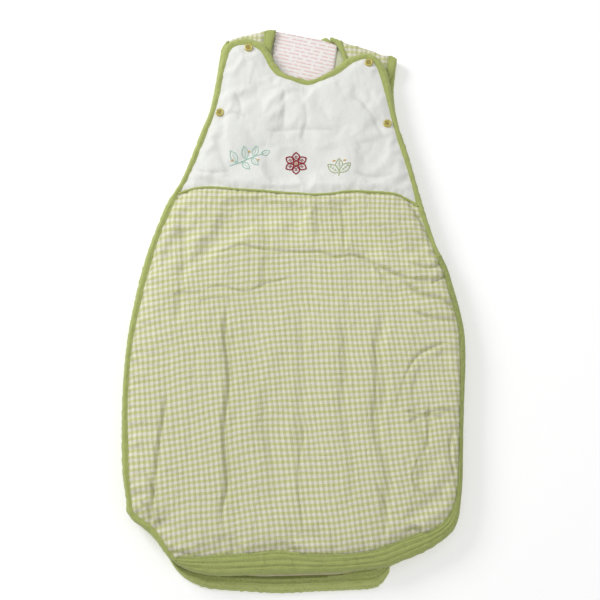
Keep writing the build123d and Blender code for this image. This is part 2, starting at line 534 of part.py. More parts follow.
SPRIG = [(-12, -6.8, 18, 8, 118), (-1, -2.4, 18, 8, 98), (-6, -4.4, 15, 7, -48), (9, 1.6, 16, 7.5, 78),
         (6, 0.4, 14, 7, -52), (18, 5.2, 12, 7, 24)]          # leaves: x, y, length, width, angle
sprig = slab(stem(m1, -21, -10.4, 20, 6, 2.2), TOP, TOP + STITCH_H)
for lx, ly, ll, lw, la in SPRIG:
    sprig += slab(petal(m1[0] + lx, m1[1] + ly, ll, lw, la), TOP, TOP + STITCH_H)
save("embroidery_sprig", sprig)
flower = disc(float(m2[0]), float(m2[1]), 5.0, TOP, TOP + STITCH_H)
for k in range(6):
    flower += slab(petal(m2[0], m2[1], 14.5, 9.5, 60 * k + 30), TOP, TOP + STITCH_H)
save("embroidery_flower", flower)
leaf = slab(petal(m3[0] - 9, m3[1] + 9, 25, 13, -48), TOP, TOP + STITCH_H)
leaf += slab(petal(m3[0] + 9, m3[1] + 9, 25, 13, -132), TOP, TOP + STITCH_H)
save("embroidery_leaf", leaf)

print("fold axis", [round(float(v) / 1000, 5) for v in (*AX0, TOP)], [round(float(v), 6) for v in (*AXD, 0)])
for nm, p, q in (("tab_left", BL0, BL1), ("tab_right", BR0, BR1)):
    d = (q - p) / np.linalg.norm(q - p)
    print(nm, [round(float(v) / 1000, 5) for v in (*((p + q) / 2), TOP)], [round(float(v), 6) for v in (*d, 0)])
print("slide", [round(float(v), 6) for v in (*SDIR, 0)], "length", float(np.linalg.norm(P_RIGHT - P_LEFT)))
print("pin", [round(float(v) / 1000, 5) for v in (*PIN, 11.5)])
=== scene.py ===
import bpy, bmesh, math
import numpy as np
from mathutils import Vector, Matrix, geometry


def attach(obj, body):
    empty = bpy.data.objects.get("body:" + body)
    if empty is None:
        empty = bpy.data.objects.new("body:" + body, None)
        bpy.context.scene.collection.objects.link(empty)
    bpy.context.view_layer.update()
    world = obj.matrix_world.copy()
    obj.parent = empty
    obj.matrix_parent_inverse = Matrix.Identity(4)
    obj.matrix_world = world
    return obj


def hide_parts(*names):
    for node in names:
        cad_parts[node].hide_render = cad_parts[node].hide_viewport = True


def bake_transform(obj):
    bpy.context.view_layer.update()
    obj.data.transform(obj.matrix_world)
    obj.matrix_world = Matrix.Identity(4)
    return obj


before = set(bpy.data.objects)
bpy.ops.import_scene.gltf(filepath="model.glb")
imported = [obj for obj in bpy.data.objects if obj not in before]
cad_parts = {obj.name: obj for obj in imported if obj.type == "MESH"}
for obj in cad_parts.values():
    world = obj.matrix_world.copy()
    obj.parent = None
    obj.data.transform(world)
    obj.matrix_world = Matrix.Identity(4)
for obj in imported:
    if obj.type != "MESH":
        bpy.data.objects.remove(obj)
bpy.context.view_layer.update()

MM = 0.001

# ------------------------------------------------------------------ edge lines in plan, mm (the same as the CAD's)
FO_TAB_L = [
    (-104.5, 261), (-101.9, 276.6), (-98.8, 293.8), (-96.5, 308.2), (-95.6, 318.3), (-91.7, 327.7), (-85.3,
    332.8), (-75, 336.3), (-65.8, 337.5), (-55.4, 336), (-46.2, 332.2), (-40.4, 328.2), (-35.7, 320.5), (-31,
    312.9), (-27.7, 305.3), (-21.2, 295.2),
]
FO_NECK = [
    (-21.2, 295.2), (-17.3, 290.2), (-10.8, 285.2), (-0.5, 281.8), (7.3, 280.1), (15, 277.6), (22.7, 278.3),
    (31.8, 282.6), (44.8, 290.2),
]
FO_TAB_R = [
    (44.8, 290.2), (53.9, 296.7), (63, 305.3), (70.9, 310), (80, 313.1), (89.2, 315.1), (98.2, 314.7), (107.2,
    308.9), (113.5, 301), (118.5, 290.9), (121.5, 276.6), (123.9, 261),
]
FO_ARM_R = [
    (123.9, 261), (125.5, 246.9), (129.1, 228.7), (133, 207.9), (138.1, 191.4), (143.4, 172.2), (151.7, 137.1),
    (159.4, 105.1), (167, 76.3), (175.2, 49), (180.9, 37.4),
]
FO_ZIP = [
    (180.9, 37.4), (185.4, 27.2), (190.2, 10.7), (194.5, -8.3), (200.3, -33.2), (203.6, -55.5), (204.1, -77.5),
    (202.9, -102.9), (199.8, -139.9), (196.5, -186.7), (193.7, -232.5), (191.2, -253.9), (187.4, -275), (181.2,
    -288.3), (168.8, -299.3), (151.5, -310.2), (133.9, -317.9), (118.4, -323.6), (105.9, -328.7), (81.2, -331.7),
    (56.4, -334.5), (46.3, -335.2), (11.1, -336.2), (-18.7, -337), (-47.8, -337.8), (-73.6, -338.6), (-83.6,
    -338.8), (-99.4, -337.5), (-115.1, -334.1), (-124.2, -330.8), (-130.6, -327.6),
]
FO_CORNER = [
    (-131.1, -327.6), (-135.7, -324.4), (-144.9, -316.8), (-153.2, -305.9), (-162.7, -294.9), (-173.3, -286.1),
    (-186.2, -276.7), (-192.3, -268.4), (-194.1, -253.9),
]
FO_SIDE_L = [
    (-194.1, -253.9), (-199.3, -226.8), (-201.9, -198.2), (-203.3, -169.3), (-204.1, -139.9), (-203.7, -102.9),
    (-201, -60.4), (-196.2, -25.8), (-189.3, 13.2), (-180.5, 49), (-169.5, 82.8), (-160.5, 107.8), (-144.1,
    137.1), (-127.9, 181.8), (-120.3, 205.1), (-113.8, 221.8),
]
FO_ARM_L = [
    (-113.8, 221.8), (-110.2, 232.2), (-106.8, 247.6), (-104.5, 261),
]
FI_TAB_L = [
    (-96.2, 264.4), (-95, 272.4), (-92.3, 290.9), (-87.5, 311.1), (-85.5, 316.8), (-80.6, 323.2), (-71.5, 326.6),
    (-65.7, 327.2), (-55.2, 324.8), (-46, 318.3), (-40.2, 308.9), (-35.5, 298.8), (-31.1, 291.1),
]
FI_NECK = [
    (-31.1, 291.1), (-26.3, 285.2), (-18.5, 280.5), (-6.9, 275.9), (6, 271.4), (16.3, 269.1), (25.3, 271.7),
    (35.6, 275.5), (47.3, 280.9), (55.7, 285.9),
]
FI_TAB_R = [
    (55.7, 285.9), (60.3, 289.1), (66.8, 294.9), (72, 299.1), (78.6, 303), (85.9, 305.3), (94.2, 306.2), (99.3,
    303.8), (103.5, 298.1), (108.3, 286.6), (112, 272.4), (113.7, 264.8),
]
FI_ARM_R = [
    (113.7, 264.8), (115.5, 256.8), (118.6, 241.7), (122, 225.1), (125.4, 209.3), (130, 191.4), (136.9, 166.1),
    (144.6, 137.1), (151.3, 105.1), (160.2, 76.3), (168.6, 49), (173.5, 34.9),
]
FI_ZIP = [
    (173.5, 34.9), (178, 24.7), (182.3, 10.7), (186.4, -7), (191.9, -29.5), (196.1, -50.6), (196.7, -77.5),
    (196.2, -106.5), (194.3, -139.9), (191.3, -186.7), (187.9, -232.5), (185.6, -247.1), (183.1, -257.2), (179,
    -266.8), (172.6, -276.2), (160.9, -285.6), (139.6, -293.5), (118.8, -300.1), (101.9, -307), (81.5, -312),
    (57.5, -314.6), (21.3, -315.2), (-1.9, -313), (-18.8, -311.5), (-43.6, -313.5), (-80.8, -315.5), (-110,
    -317.5), (-134.7, -318.7),
]
FI_CORNER = [
    (-134.7, -318.7), (-141.8, -310.8), (-151.9, -296.6), (-162, -284.5), (-173.7, -276.5), (-182.5, -270.6),
    (-186.3, -261.7), (-187.6, -253.9),
]
FI_SIDE_L = [
    (-187.6, -253.9), (-191.3, -226.8), (-193.6, -198.2), (-195.5, -169.3), (-196.7, -139.9), (-196.6, -107.7),
    (-194.1, -69), (-189.9, -40.7), (-184.1, -8.3), (-177.6, 23.4), (-169.7, 55.5), (-162.5, 77.6), (-155.1,
    95.9), (-147.1, 115.7), (-135.4, 138.4), (-119.1, 181.8), (-111.7, 203.7), (-106.1, 219.5),
]
FI_ARM_L = [
    (-106.1, 219.5), (-101.2, 238.5), (-97.9, 251.8), (-96.2, 264.4),
]
PIPING = [
    (-146, 119.1), (-141.6, 121.1), (-126.5, 125.3), (-107.6, 127.2), (-90.1, 125.9), (-67.6, 123.6), (-48.3,
    122.5), (-28.9, 121.1), (-10.2, 119.3), (6, 118.4), (17.2, 117.1), (30.9, 117.3), (47.6, 118.4), (62.1,
    120.8), (77.6, 121.2), (93.2, 120.3), (108.8, 119.7), (126.5, 117.3), (137.5, 112.3), (146.4, 107.8), (152.4,
    102.5),
]
BO_FOLD_L = [
    (-98.3, 326.1), (-95.3, 333.7), (-88.9, 340.3), (-78.4, 345.2), (-65.3, 349), (-52.1, 352), (-41.6, 354.4),
    (-33.7, 356.1), (-26, 356.4),
]
BO_NECK = [
    (-26.2, 357.7), (-21.9, 349.6), (-13.9, 340.7), (-3.3, 334.8), (7.3, 332.5), (17.9, 334), (27.1, 338.7),
    (36.4, 343.7), (45.7, 347),
]
BO_FOLD_R = [
    (45.6, 345.2), (53.4, 342.8), (61.3, 339.9), (69.2, 336.3), (79.7, 333.4), (92.7, 329), (103.2, 325.2), (111,
    321.1), (116.2, 318.5), (125.3, 317.9), (133.1, 314.4),
]
BO_ARM_R = [
    (133.6, 315), (133, 309.9), (130.7, 290.1), (128.5, 269.9), (129.3, 249.4), (131.6, 229.5), (136.4, 202.9),
    (144, 175.1), (152.4, 139.6), (160.2, 107.2), (168, 79.3), (175.7, 50.4),
]
BO_ZIP = [
    (175.7, 50.4), (184.1, 27), (190.1, 7.7), (196.3, -20.3), (200.5, -49.2), (200.9, -76.6), (198.2, -137.4),
    (194.7, -196.6), (190.3, -242.7), (185.3, -264.3), (177.1, -281.8), (162.1, -296.3), (143.4, -308), (126,
    -316.3), (115.5, -321.8), (109.1, -328.4), (108.4, -334.4), (104.8, -340.4), (100.1, -346.4), (94.4, -350.7),
    (86.4, -352.9), (62.6, -354.4), (23, -355.9), (-16.6, -357.7), (-50.6, -356.1), (-84.6, -354), (-101.7,
    -351.8), (-118.8, -345.3), (-128.1, -339.4), (-134.4, -333.7),
]
BO_ARM_L = [
    (-113, 233.8), (-109.6, 250.8), (-106.6, 267.9), (-104.1, 285.2), (-101.9, 302.6), (-100.1, 317.2), (-98.8,
    327.5),
]
BI_ARM_L = [
    (-104.2, 233.8), (-100.5, 250.8), (-97.5, 267.9), (-95.2, 283.8), (-92.4, 301.2), (-89.6, 317.2), (-87.7,
    327.5),
]
BI_FOLD_L = [
    (-87.8, 330.4), (-83.9, 335.4), (-74.7, 339.6), (-62.9, 343.7), (-49.7, 347.3), (-39.1, 349.3), (-32.5,
    349.6),
]
BI_NECK = [
    (-32.4, 347.4), (-25.8, 339.3), (-16.5, 331), (-4.6, 325.4), (7.3, 323.4), (19.2, 324.8), (31.1, 330.4),
    (41.7, 336.3), (49.6, 338.4),
]
BI_FOLD_R = [
    (52.2, 337.2), (66.7, 331.6), (79.9, 327.2), (93, 322.8), (106, 317.2), (116.5, 312.2), (122.3, 309),
]
BI_ARM_R = [
    (122.2, 307), (121.2, 292.4), (120.2, 272.2), (121.6, 252.2), (123.9, 230.9), (128.7, 204.3), (136.3, 175.1),
    (144.8, 139.6), (152.6, 107.2), (160.5, 79.3), (168.2, 50.4),
]
BI_ZIP = [
    (168.2, 50.4), (176.1, 27), (182.6, 5.1), (188.9, -22.9), (193.1, -51.7), (193.7, -76.6), (191.1, -137.4),
    (187.6, -196.6), (183.4, -240.5), (178.6, -257.5), (169.9, -273.9), (156.7, -287.4), (139.1, -298.5), (121.7,
    -306.3), (108.9, -312.4), (97.4, -316.3), (74.5, -319.6), (40.2, -321.8), (6, -322.9), (-28.2, -323.2),
    (-62.5, -323.2), (-91, -322.9), (-110.4, -321.9), (-124.1, -321.2), (-134.4, -320.1),
]
LABEL = [
    (-26.4, 354.4), (32.4, 342.4), (55.6, 334.5), (47.7, 274.9), (-33.3, 289.3),
]
STRAP_L = [
    (-26, 354.7), (-27.5, 345.7), (-30, 335.4), (-32.1, 323.7), (-32.5, 312), (-35.8, 303.3), (-48.8, 298.2),
    (-72.3, 298.2), (-86.8, 304), (-94, 314.9), (-98.2, 324.3),
]
STRAP_L_BIND = [
    (-40.2, 356.1), (-45.6, 298.2),
]
STRAP_L_BIND2 = [
    (-88.2, 353.1), (-86.8, 280.2),
]
STRAP_R = [
    (132.9, 312.6), (131.3, 300.4), (125.1, 286.7), (117.7, 279.5), (102.2, 280.2), (78.9, 286.7), (67.2, 294.6),
    (64.1, 303.3), (63, 312), (60.4, 320.8), (56.9, 328.4), (52.7, 336), (46, 342.8),
]
STRAP_R_BIND = [
    (60.7, 338.5), (75.6, 288.9),
]
STRAP_R_BIND2 = [
    (123.4, 320.8), (115.1, 277.4),
]
POPPERS = [
    (-60.8, 321.5), (95.2, 299.9), (-96.2, 229.3), (117.1, 213.9),
]
MOTIF = [
    (-61.3, 166.5), (1, 160), (54.9, 153),
]
AXIS_F = [
    (-107.6, 335.7), (-132.2, -327.6),
]
BASE_L = [
    (-104.5, 261), (-21.2, 295.2),
]
BASE_R = [
    (44.8, 290.2), (123.9, 261),
]

# ------------------------------------------------------------------ numbers and lines
def smooth(pts, step=3.0):
    p = np.array(pts, float)
    q = np.vstack([2 * p[0] - p[1], p, 2 * p[-1] - p[-2]])
    out = []
    for i in range(1, len(q) - 2):
        a, b, c, d = q[i - 1], q[i], q[i + 1], q[i + 2]
        ta = max(np.linalg.norm(b - a), 1e-6) ** 0.5
        tb = max(np.linalg.norm(c - b), 1e-6) ** 0.5
        tc = max(np.linalg.norm(d - c), 1e-6) ** 0.5
        m1 = ((c - b) / tb - (c - a) / (ta + tb) + (b - a) / ta) * tb
        m2 = ((d - c) / tc - (d - b) / (tb + tc) + (c - b) / tb) * tb
        n = max(1, int(round(np.linalg.norm(c - b) / step)))
        for k in range(n):
            t = k / n
            out.append((2 * t**3 - 3 * t**2 + 1) * b + (t**3 - 2 * t**2 + t) * m1
                       + (-2 * t**3 + 3 * t**2) * c + (t**3 - t**2) * m2)
    out.append(p[-1])
    return np.array(out)


def arc(line):
    return np.concatenate([[0], np.cumsum(np.linalg.norm(np.diff(line, axis=0), axis=1))])


def resample(line, n):
    line = np.array(line, float)
    s = arc(line)
    t = np.linspace(0, s[-1], n)
    return np.stack([np.interp(t, s, line[:, k]) for k in range(line.shape[1])], 1)


def dedupe(line, tol=0.3):
    out = [line[0]]
    for p in line[1:]:
        if np.linalg.norm(p - out[-1]) > tol:
            out.append(p)
    return np.array(out)


def cat(*parts):
    return dedupe(np.vstack(parts))


def offset_line(line, d):
    p = np.array(line, float)
    t = np.gradient(p, axis=0)
    t /= np.linalg.norm(t, axis=1)[:, None] + 1e-12
    return p + np.stack([t[:, 1], -t[:, 0]], 1) * d


def dist_to(P, line, closed=False):
    """Distance of each point to a polyline."""
    L = np.array(line, float)
    if closed:
        L = np.vstack([L, L[:1]])
    best = np.full(len(P), 1e9)
    for a, b in zip(L[:-1], L[1:]):
        ab = b - a
        t = np.clip(((P - a) @ ab) / max(ab @ ab, 1e-9), 0, 1)
        d = np.linalg.norm(P - a - t[:, None] * ab, axis=1)
        best = np.minimum(best, d)
    return best


def inside(P, poly):
    x, y = P[:, 0], P[:, 1]
    r = np.zeros(len(P), bool)
    n = len(poly)
    for i in range(n):
        x0, y0 = poly[i]
        x1, y1 = poly[(i + 1) % n]
        c = (y0 > y) != (y1 > y)
        if y1 != y0:
            r ^= c & (x < (x1 - x0) * (y - y0) / (y1 - y0) + x0)
    return r


def split_at(line, p, n):
    """Cuts a line where it crosses the line through p with normal n: (part before, part after), both with the crossing."""
    s = (line - np.array(p)) @ np.array(n)
    for i in range(len(s) - 1):
        if s[i] * s[i + 1] <= 0 and s[i] != s[i + 1]:
            c = line[i] + (line[i + 1] - line[i]) * s[i] / (s[i] - s[i + 1])
            return np.vstack([line[:i + 1], [c]]), np.vstack([[c], line[i + 1:]])
    raise ValueError("the lines don't cross")


def vnoise(x, y, scale, seed):
    """Smooth value noise from -1 to 1."""
    rng = np.random.RandomState(seed)
    g = rng.uniform(-1, 1, (64, 64))
    u, v = np.asarray(x) / scale + 31.7, np.asarray(y) / scale + 17.3
    i, j = np.floor(u).astype(int), np.floor(v).astype(int)
    fu, fv = u - i, v - j
    fu, fv = fu * fu * fu * (fu * (fu * 6 - 15) + 10), fv * fv * fv * (fv * (fv * 6 - 15) + 10)
    i0, j0, i1, j1 = i % 64, j % 64, (i + 1) % 64, (j + 1) % 64
    return (g[i0, j0] * (1 - fu) * (1 - fv) + g[i1, j0] * fu * (1 - fv) + g[i0, j1] * (1 - fu) * fv + g[i1, j1] * fu * fv)


def wob(s, seed, wave=20.0):
    """Smooth wobble along a length."""
    rng = np.random.RandomState(seed)
    r = np.zeros_like(np.asarray(s, float))
    for k in range(6):
        f = 2 * math.pi / wave * rng.uniform(0.5, 2.2)
        r = r + math.sqrt(1 / 6) * np.sin(np.asarray(s) * f + rng.uniform(0, 6.28))
    return r


def sstep(a, b, x):
    t = np.clip((np.asarray(x, float) - a) / (b - a), 0, 1)
    return t * t * (3 - 2 * t)


def srgb(r, g, b, a=1.0):
    f = lambda c: c / 12.92 if c <= 0.04045 else ((c + 0.055) / 1.055) ** 2.4
    return (f(r / 255), f(g / 255), f(b / 255), a)


# ------------------------------------------------------------------ materials
def material(name, rough=0.85, sheen=0.25, spec=0.25):
    m = bpy.data.materials.new(name)
    m.use_nodes = True
    nt = m.node_tree
    b = nt.nodes["Principled BSDF"]
    b.inputs["Roughness"].default_value = rough
    b.inputs["Sheen Weight"].default_value = sheen
    b.inputs["Sheen Roughness"].default_value = 0.5
    b.inputs["Specular IOR Level"].default_value = spec
    return m, nt, b


def node(nt, kind, inputs=None, **props):
    n = nt.nodes.new(kind)
    for k, v in props.items():
        setattr(n, k, v)
    for k, v in (inputs or {}).items():
        if hasattr(v, "is_output") or isinstance(v, bpy.types.NodeSocket):
            nt.links.new(v, n.inputs[k])
        else:
            n.inputs[k].default_value = v
    return n


def mth(nt, op, a, b=0.0, c=0.0):
    n = nt.nodes.new("ShaderNodeMath")
    n.operation = op
    for k, v in enumerate((a, b, c)):
        if isinstance(v, bpy.types.NodeSocket):
            nt.links.new(v, n.inputs[k])
        else:
            n.inputs[k].default_value = v
    return n.outputs[0]


def mixc(nt, fac, a, b, blend="MIX"):
    n = nt.nodes.new("ShaderNodeMix")
    n.data_type = "RGBA"
    n.blend_type = blend
    for k, v in ((0, fac), (6, a), (7, b)):
        if isinstance(v, bpy.types.NodeSocket):
            nt.links.new(v, n.inputs[k])
        else:
            n.inputs[k].default_value = v
    return n.outputs[2]


def noise(nt, vec, scale, detail=3.0, rough=0.55):
    n = node(nt, "ShaderNodeTexNoise", {"Vector": vec, "Scale": scale, "Detail": detail, "Roughness": rough})
    return n.outputs["Fac"]


def weave_bump(nt, u, v, yarns, strength, extra=None, extra_w=0.6, dist=0.0006):
    """Plain weave: warp and weft threads pass over each other."""
    su = mth(nt, "SINE", mth(nt, "MULTIPLY", u, yarns * math.pi))
    sv = mth(nt, "SINE", mth(nt, "MULTIPLY", v, yarns * math.pi))
    w = mth(nt, "MULTIPLY", su, sv)
    h = mth(nt, "MULTIPLY_ADD", w, 0.5, 0.5)
    if extra is not None:
        h = mth(nt, "ADD", h, mth(nt, "MULTIPLY", extra, extra_w * 2))
    b = node(nt, "ShaderNodeBump", {"Strength": strength, "Distance": dist, "Height": h})
    return b.outputs["Normal"]


def uvs(nt):
    t = nt.nodes.new("ShaderNodeTexCoord")
    s = nt.nodes.new("ShaderNodeSeparateXYZ")
    nt.links.new(t.outputs["UV"], s.inputs[0])
    return t.outputs["UV"], s.outputs[0], s.outputs[1], t.outputs["Object"]


def make_gingham():
    """Woven check. UV is in check periods (6.35 mm)."""
    m, nt, b = material("gingham_cotton", 0.88, 0.2)
    uv, u, v, ob = uvs(nt)
    wu = mth(nt, "ADD", u, mth(nt, "MULTIPLY", noise(nt, ob, 60.0, 2.0), 0.16))
    wv = mth(nt, "ADD", v, mth(nt, "MULTIPLY", noise(nt, ob, 75.0, 2.0), 0.16))

    def stripe(x):
        p = mth(nt, "PINGPONG", x, 0.5)
        r = node(nt, "ShaderNodeMapRange", {"Value": p, "From Min": 0.205, "From Max": 0.285}, interpolation_type="SMOOTHSTEP")
        return r.outputs[0]

    su, sv = stripe(wu), stripe(wv)
    warp = mixc(nt, su, (0.775, 0.785, 0.665, 1), (1, 1, 1, 1))
    weft = mixc(nt, sv, (0.815, 0.885, 0.50, 1), (1, 1, 1, 1))
    both = mixc(nt, 1.0, warp, weft, "MULTIPLY")
    col = mixc(nt, 1.0, both, srgb(230, 227, 210), "MULTIPLY")
    # slubs: short thick places in single yarns
    mp1 = node(nt, "ShaderNodeMapping", {"Vector": uv, "Scale": (18.0, 1.2, 1.0)}).outputs[0]
    mp2 = node(nt, "ShaderNodeMapping", {"Vector": uv, "Scale": (1.2, 18.0, 1.0)}).outputs[0]
    slub = mth(nt, "ADD", noise(nt, mp1, 1.0, 2.0), noise(nt, mp2, 1.0, 2.0))
    tone = mth(nt, "ADD", mth(nt, "MULTIPLY", slub, 0.16), mth(nt, "MULTIPLY", noise(nt, ob, 14.0, 3.0), 0.12))
    tone = mth(nt, "ADD", tone, 0.78)
    hsv = node(nt, "ShaderNodeHueSaturation", {"Color": col, "Value": tone})
    pink = mixc(nt, mth(nt, "MULTIPLY", noise(nt, ob, 30.0, 2.0), 0.16), hsv.outputs[0], srgb(226, 208, 206))
    # painted shade: the 'fold' attribute darkens the check colour in creases, seams and tuck-ins
    at = node(nt, "ShaderNodeAttribute", attribute_name="fold")
    shade = mixc(nt, mth(nt, "MULTIPLY", at.outputs["Fac"], 0.5), pink, srgb(128, 136, 78))
    nt.links.new(shade, b.inputs["Base Color"])
    # small random crumples of the washed cloth
    st = node(nt, "ShaderNodeMapping", {"Vector": ob, "Scale": (26.0, 60.0, 26.0), "Rotation": (0, 0, 0.5)}).outputs[0]
    r1 = mth(nt, "ABSOLUTE", mth(nt, "SUBTRACT", noise(nt, st, 1.0, 2.0), 0.5))
    st2 = node(nt, "ShaderNodeMapping", {"Vector": ob, "Scale": (70.0, 24.0, 26.0), "Rotation": (0, 0, -0.2)}).outputs[0]
    r2 = mth(nt, "ABSOLUTE", mth(nt, "SUBTRACT", noise(nt, st2, 1.0, 2.0), 0.5))
    cr = mth(nt, "MULTIPLY", mth(nt, "MINIMUM", mth(nt, "MINIMUM", r1, r2), 0.09), 11.0)
    soft = node(nt, "ShaderNodeMapping", {"Vector": ob, "Scale": (30.0, 9.0, 10.0), "Rotation": (0, 0, 0.12)}).outputs[0]
    sb = node(nt, "ShaderNodeBump", {"Strength": 0.72, "Distance": 0.007, "Height": noise(nt, soft, 1.0, 2.5, 0.6)})
    big = node(nt, "ShaderNodeBump", {"Strength": 0.26, "Distance": 0.0016, "Height": cr, "Normal": sb.outputs["Normal"]})
    fine = node(nt, "ShaderNodeBump", {"Strength": 0.35, "Distance": 0.0006, "Height": noise(nt, ob, 420.0, 3.0), "Normal": big.outputs["Normal"]})
    nt.links.new(fine.outputs["Normal"], b.inputs["Normal"])
    return m


def make_cloth(name, col, col2, uv_per_mm=1.0, yarns=2.6, rough=0.88, sheen=0.25, mott=9.0, bias=False, amount=0.35, bump=0.4, crumple=0.0, pleat=0.0):
    """Plain woven cloth. UV is in millimetres."""
    m, nt, b = material(name, rough, sheen)
    uv, u, v, ob = uvs(nt)
    if bias:
        a = mth(nt, "MULTIPLY", mth(nt, "ADD", u, v), 0.7071)
        c = mth(nt, "MULTIPLY", mth(nt, "SUBTRACT", u, v), 0.7071)
    else:
        a, c = u, v
    n1 = noise(nt, ob, mott * 10, 4.0)
    mp = node(nt, "ShaderNodeMapping", {"Vector": uv, "Scale": (2.4, 0.16, 1.0)}).outputs[0]
    n2 = noise(nt, mp, 1.0, 2.0)
    f = mth(nt, "ADD", mth(nt, "MULTIPLY", n1, amount), mth(nt, "MULTIPLY", n2, amount * 0.8))
    c1 = mixc(nt, f, col, col2)
    if crumple:
        # painted shade: the 'fold' attribute greys the cloth colour in creases and tuck-ins
        at = node(nt, "ShaderNodeAttribute", attribute_name="fold")
        c1 = mixc(nt, mth(nt, "MULTIPLY", at.outputs["Fac"], 0.35), c1, srgb(170, 172, 166))
    nt.links.new(c1, b.inputs["Base Color"])
    wv = weave_bump(nt, a, c, yarns, bump, noise(nt, ob, 380.0, 3.0), 0.9, 0.0004)
    if crumple:
        st = node(nt, "ShaderNodeMapping", {"Vector": ob, "Scale": (44.0, 20.0, 26.0), "Rotation": (0, 0, 0.35)}).outputs[0]
        r1 = mth(nt, "ABSOLUTE", mth(nt, "SUBTRACT", noise(nt, st, 1.0, 2.0), 0.5))
        cr = mth(nt, "MULTIPLY", mth(nt, "MINIMUM", r1, 0.1), 10.0)
        big = node(nt, "ShaderNodeBump", {"Strength": crumple, "Distance": 0.0016, "Height": cr, "Normal": wv})
        wv = big.outputs["Normal"]
    if pleat:
        # long soft pleats along the strip and short puckers across it
        lo = node(nt, "ShaderNodeMapping", {"Vector": uv, "Scale": (0.022, 0.55, 1.0)}).outputs[0]
        sh = node(nt, "ShaderNodeMapping", {"Vector": uv, "Scale": (0.26, 0.07, 1.0)}).outputs[0]
        h = mth(nt, "ADD", mth(nt, "MULTIPLY", noise(nt, lo, 1.0, 2.0), 0.85), mth(nt, "MULTIPLY", noise(nt, sh, 1.0, 2.0), 1.1))
        pb = node(nt, "ShaderNodeBump", {"Strength": pleat, "Distance": 0.0022, "Height": h, "Normal": wv})
        wv = pb.outputs["Normal"]
    nt.links.new(wv, b.inputs["Normal"])
    return m


def make_plain(name, col, col2, rough=0.5, sheen=0.0, spec=0.5, scale=120.0, bump=0.15, coat=0.0, trans=0.0, metal=0.0):
    m, nt, b = material(name, rough, sheen, spec)
    t = nt.nodes.new("ShaderNodeTexCoord").outputs["Object"]
    c = mixc(nt, noise(nt, t, scale, 3.0), col, col2)
    nt.links.new(c, b.inputs["Base Color"])
    bp = node(nt, "ShaderNodeBump", {"Strength": bump, "Distance": 0.0003, "Height": noise(nt, t, scale * 6, 3.0)})
    nt.links.new(bp.outputs["Normal"], b.inputs["Normal"])
    b.inputs["Coat Weight"].default_value = coat
    b.inputs["Transmission Weight"].default_value = trans
    b.inputs["Metallic"].default_value = metal
    return m


M = {}
M["gingham"] = make_gingham()
M["white"] = make_cloth("white_cotton", srgb(238, 239, 234), srgb(227, 228, 223), yarns=2.4, sheen=0.15, bump=0.3, crumple=0.16)
M["lining"] = make_cloth("lining_cotton", srgb(222, 225, 196), srgb(206, 210, 176), yarns=2.4, sheen=0.15)
M["binding"] = make_cloth("green_binding", srgb(182, 191, 116), srgb(158, 170, 92), yarns=3.2, bias=True, sheen=0.3)
M["band"] = make_cloth("green_band", srgb(182, 192, 119), srgb(156, 167, 92), yarns=2.8, sheen=0.25, pleat=0.8, amount=0.5)
# painted shade: a darker copy of the band cloth for the recess of the back foot band
M["band_deep"] = make_cloth("green_band_painted_recess_shade", srgb(156, 166, 96), srgb(132, 142, 76), yarns=2.8, sheen=0.15, pleat=0.8)
# painted light: a lighter copy of the band cloth for the back foot band, to offset the shade it lies in
M["band_back"] = make_cloth("green_band_shade", srgb(216, 225, 148), srgb(174, 186, 105), yarns=2.8, sheen=0.25, pleat=1.0, amount=0.62)
M["thread_green"] = make_cloth("thread_green", srgb(196, 203, 140), srgb(178, 186, 118), yarns=4.0, sheen=0.2, rough=0.6)
M["thread_white"] = make_cloth("thread_white", srgb(243, 243, 240), srgb(230, 230, 226), yarns=4.0, sheen=0.2, rough=0.6)
M["tape"] = make_cloth("zip_tape", srgb(224, 214, 174), srgb(208, 198, 156), yarns=3.4, sheen=0.2)
M["coil"] = make_plain("zip_coil", srgb(226, 218, 184), srgb(212, 202, 166), 0.42)
M["metal"] = make_plain("zip_metal", srgb(176, 182, 116), srgb(160, 168, 98), 0.32, coat=0.5)
M["mint"] = make_cloth("thread_mint", srgb(204, 238, 224), srgb(186, 226, 210), yarns=5.0, rough=0.5, sheen=0.3)
M["red"] = make_cloth("thread_red", srgb(172, 24, 46), srgb(146, 14, 34), yarns=5.0, rough=0.5, sheen=0.3)
M["sage"] = make_cloth("thread_sage", srgb(200, 214, 168), srgb(184, 200, 148), yarns=5.0, rough=0.5, sheen=0.3)
M["amber"] = make_cloth("thread_amber", srgb(240, 190, 96), srgb(226, 168, 72), yarns=5.0, rough=0.5, sheen=0.3)


# ------------------------------------------------------------------ mesh helpers
def put(name, V, F, mats, idx=None, uv=None, body=None, flat=False):
    """V in mm."""
    me = bpy.data.meshes.new(name)
    me.from_pydata((np.array(V, float) * MM).tolist(), [], [tuple(int(i) for i in f) for f in F])
    for m in mats:
        me.materials.append(m)
    if idx is not None:
        me.polygons.foreach_set("material_index", np.array(idx, np.int32))
    if uv is not None:
        lv = np.empty(len(me.loops), np.int32)
        me.loops.foreach_get("vertex_index", lv)
        layer = me.uv_layers.new(name="UVMap")
        layer.data.foreach_set("uv", np.array(uv, np.float32)[lv].ravel())
    me.polygons.foreach_set("use_smooth", np.full(len(me.polygons), not flat))
    me.validate()
    me.update()
    ob = bpy.data.objects.new(name, me)
    bpy.context.scene.collection.objects.link(ob)
    if body:
        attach(ob, body)
    return ob


def orient(ob):
    """Makes the faces of a closed mesh point outwards."""
    bm = bmesh.new()
    bm.from_mesh(ob.data)
    bmesh.ops.recalc_face_normals(bm, faces=bm.faces)
    bm.to_mesh(ob.data)
    bm.free()
    return ob


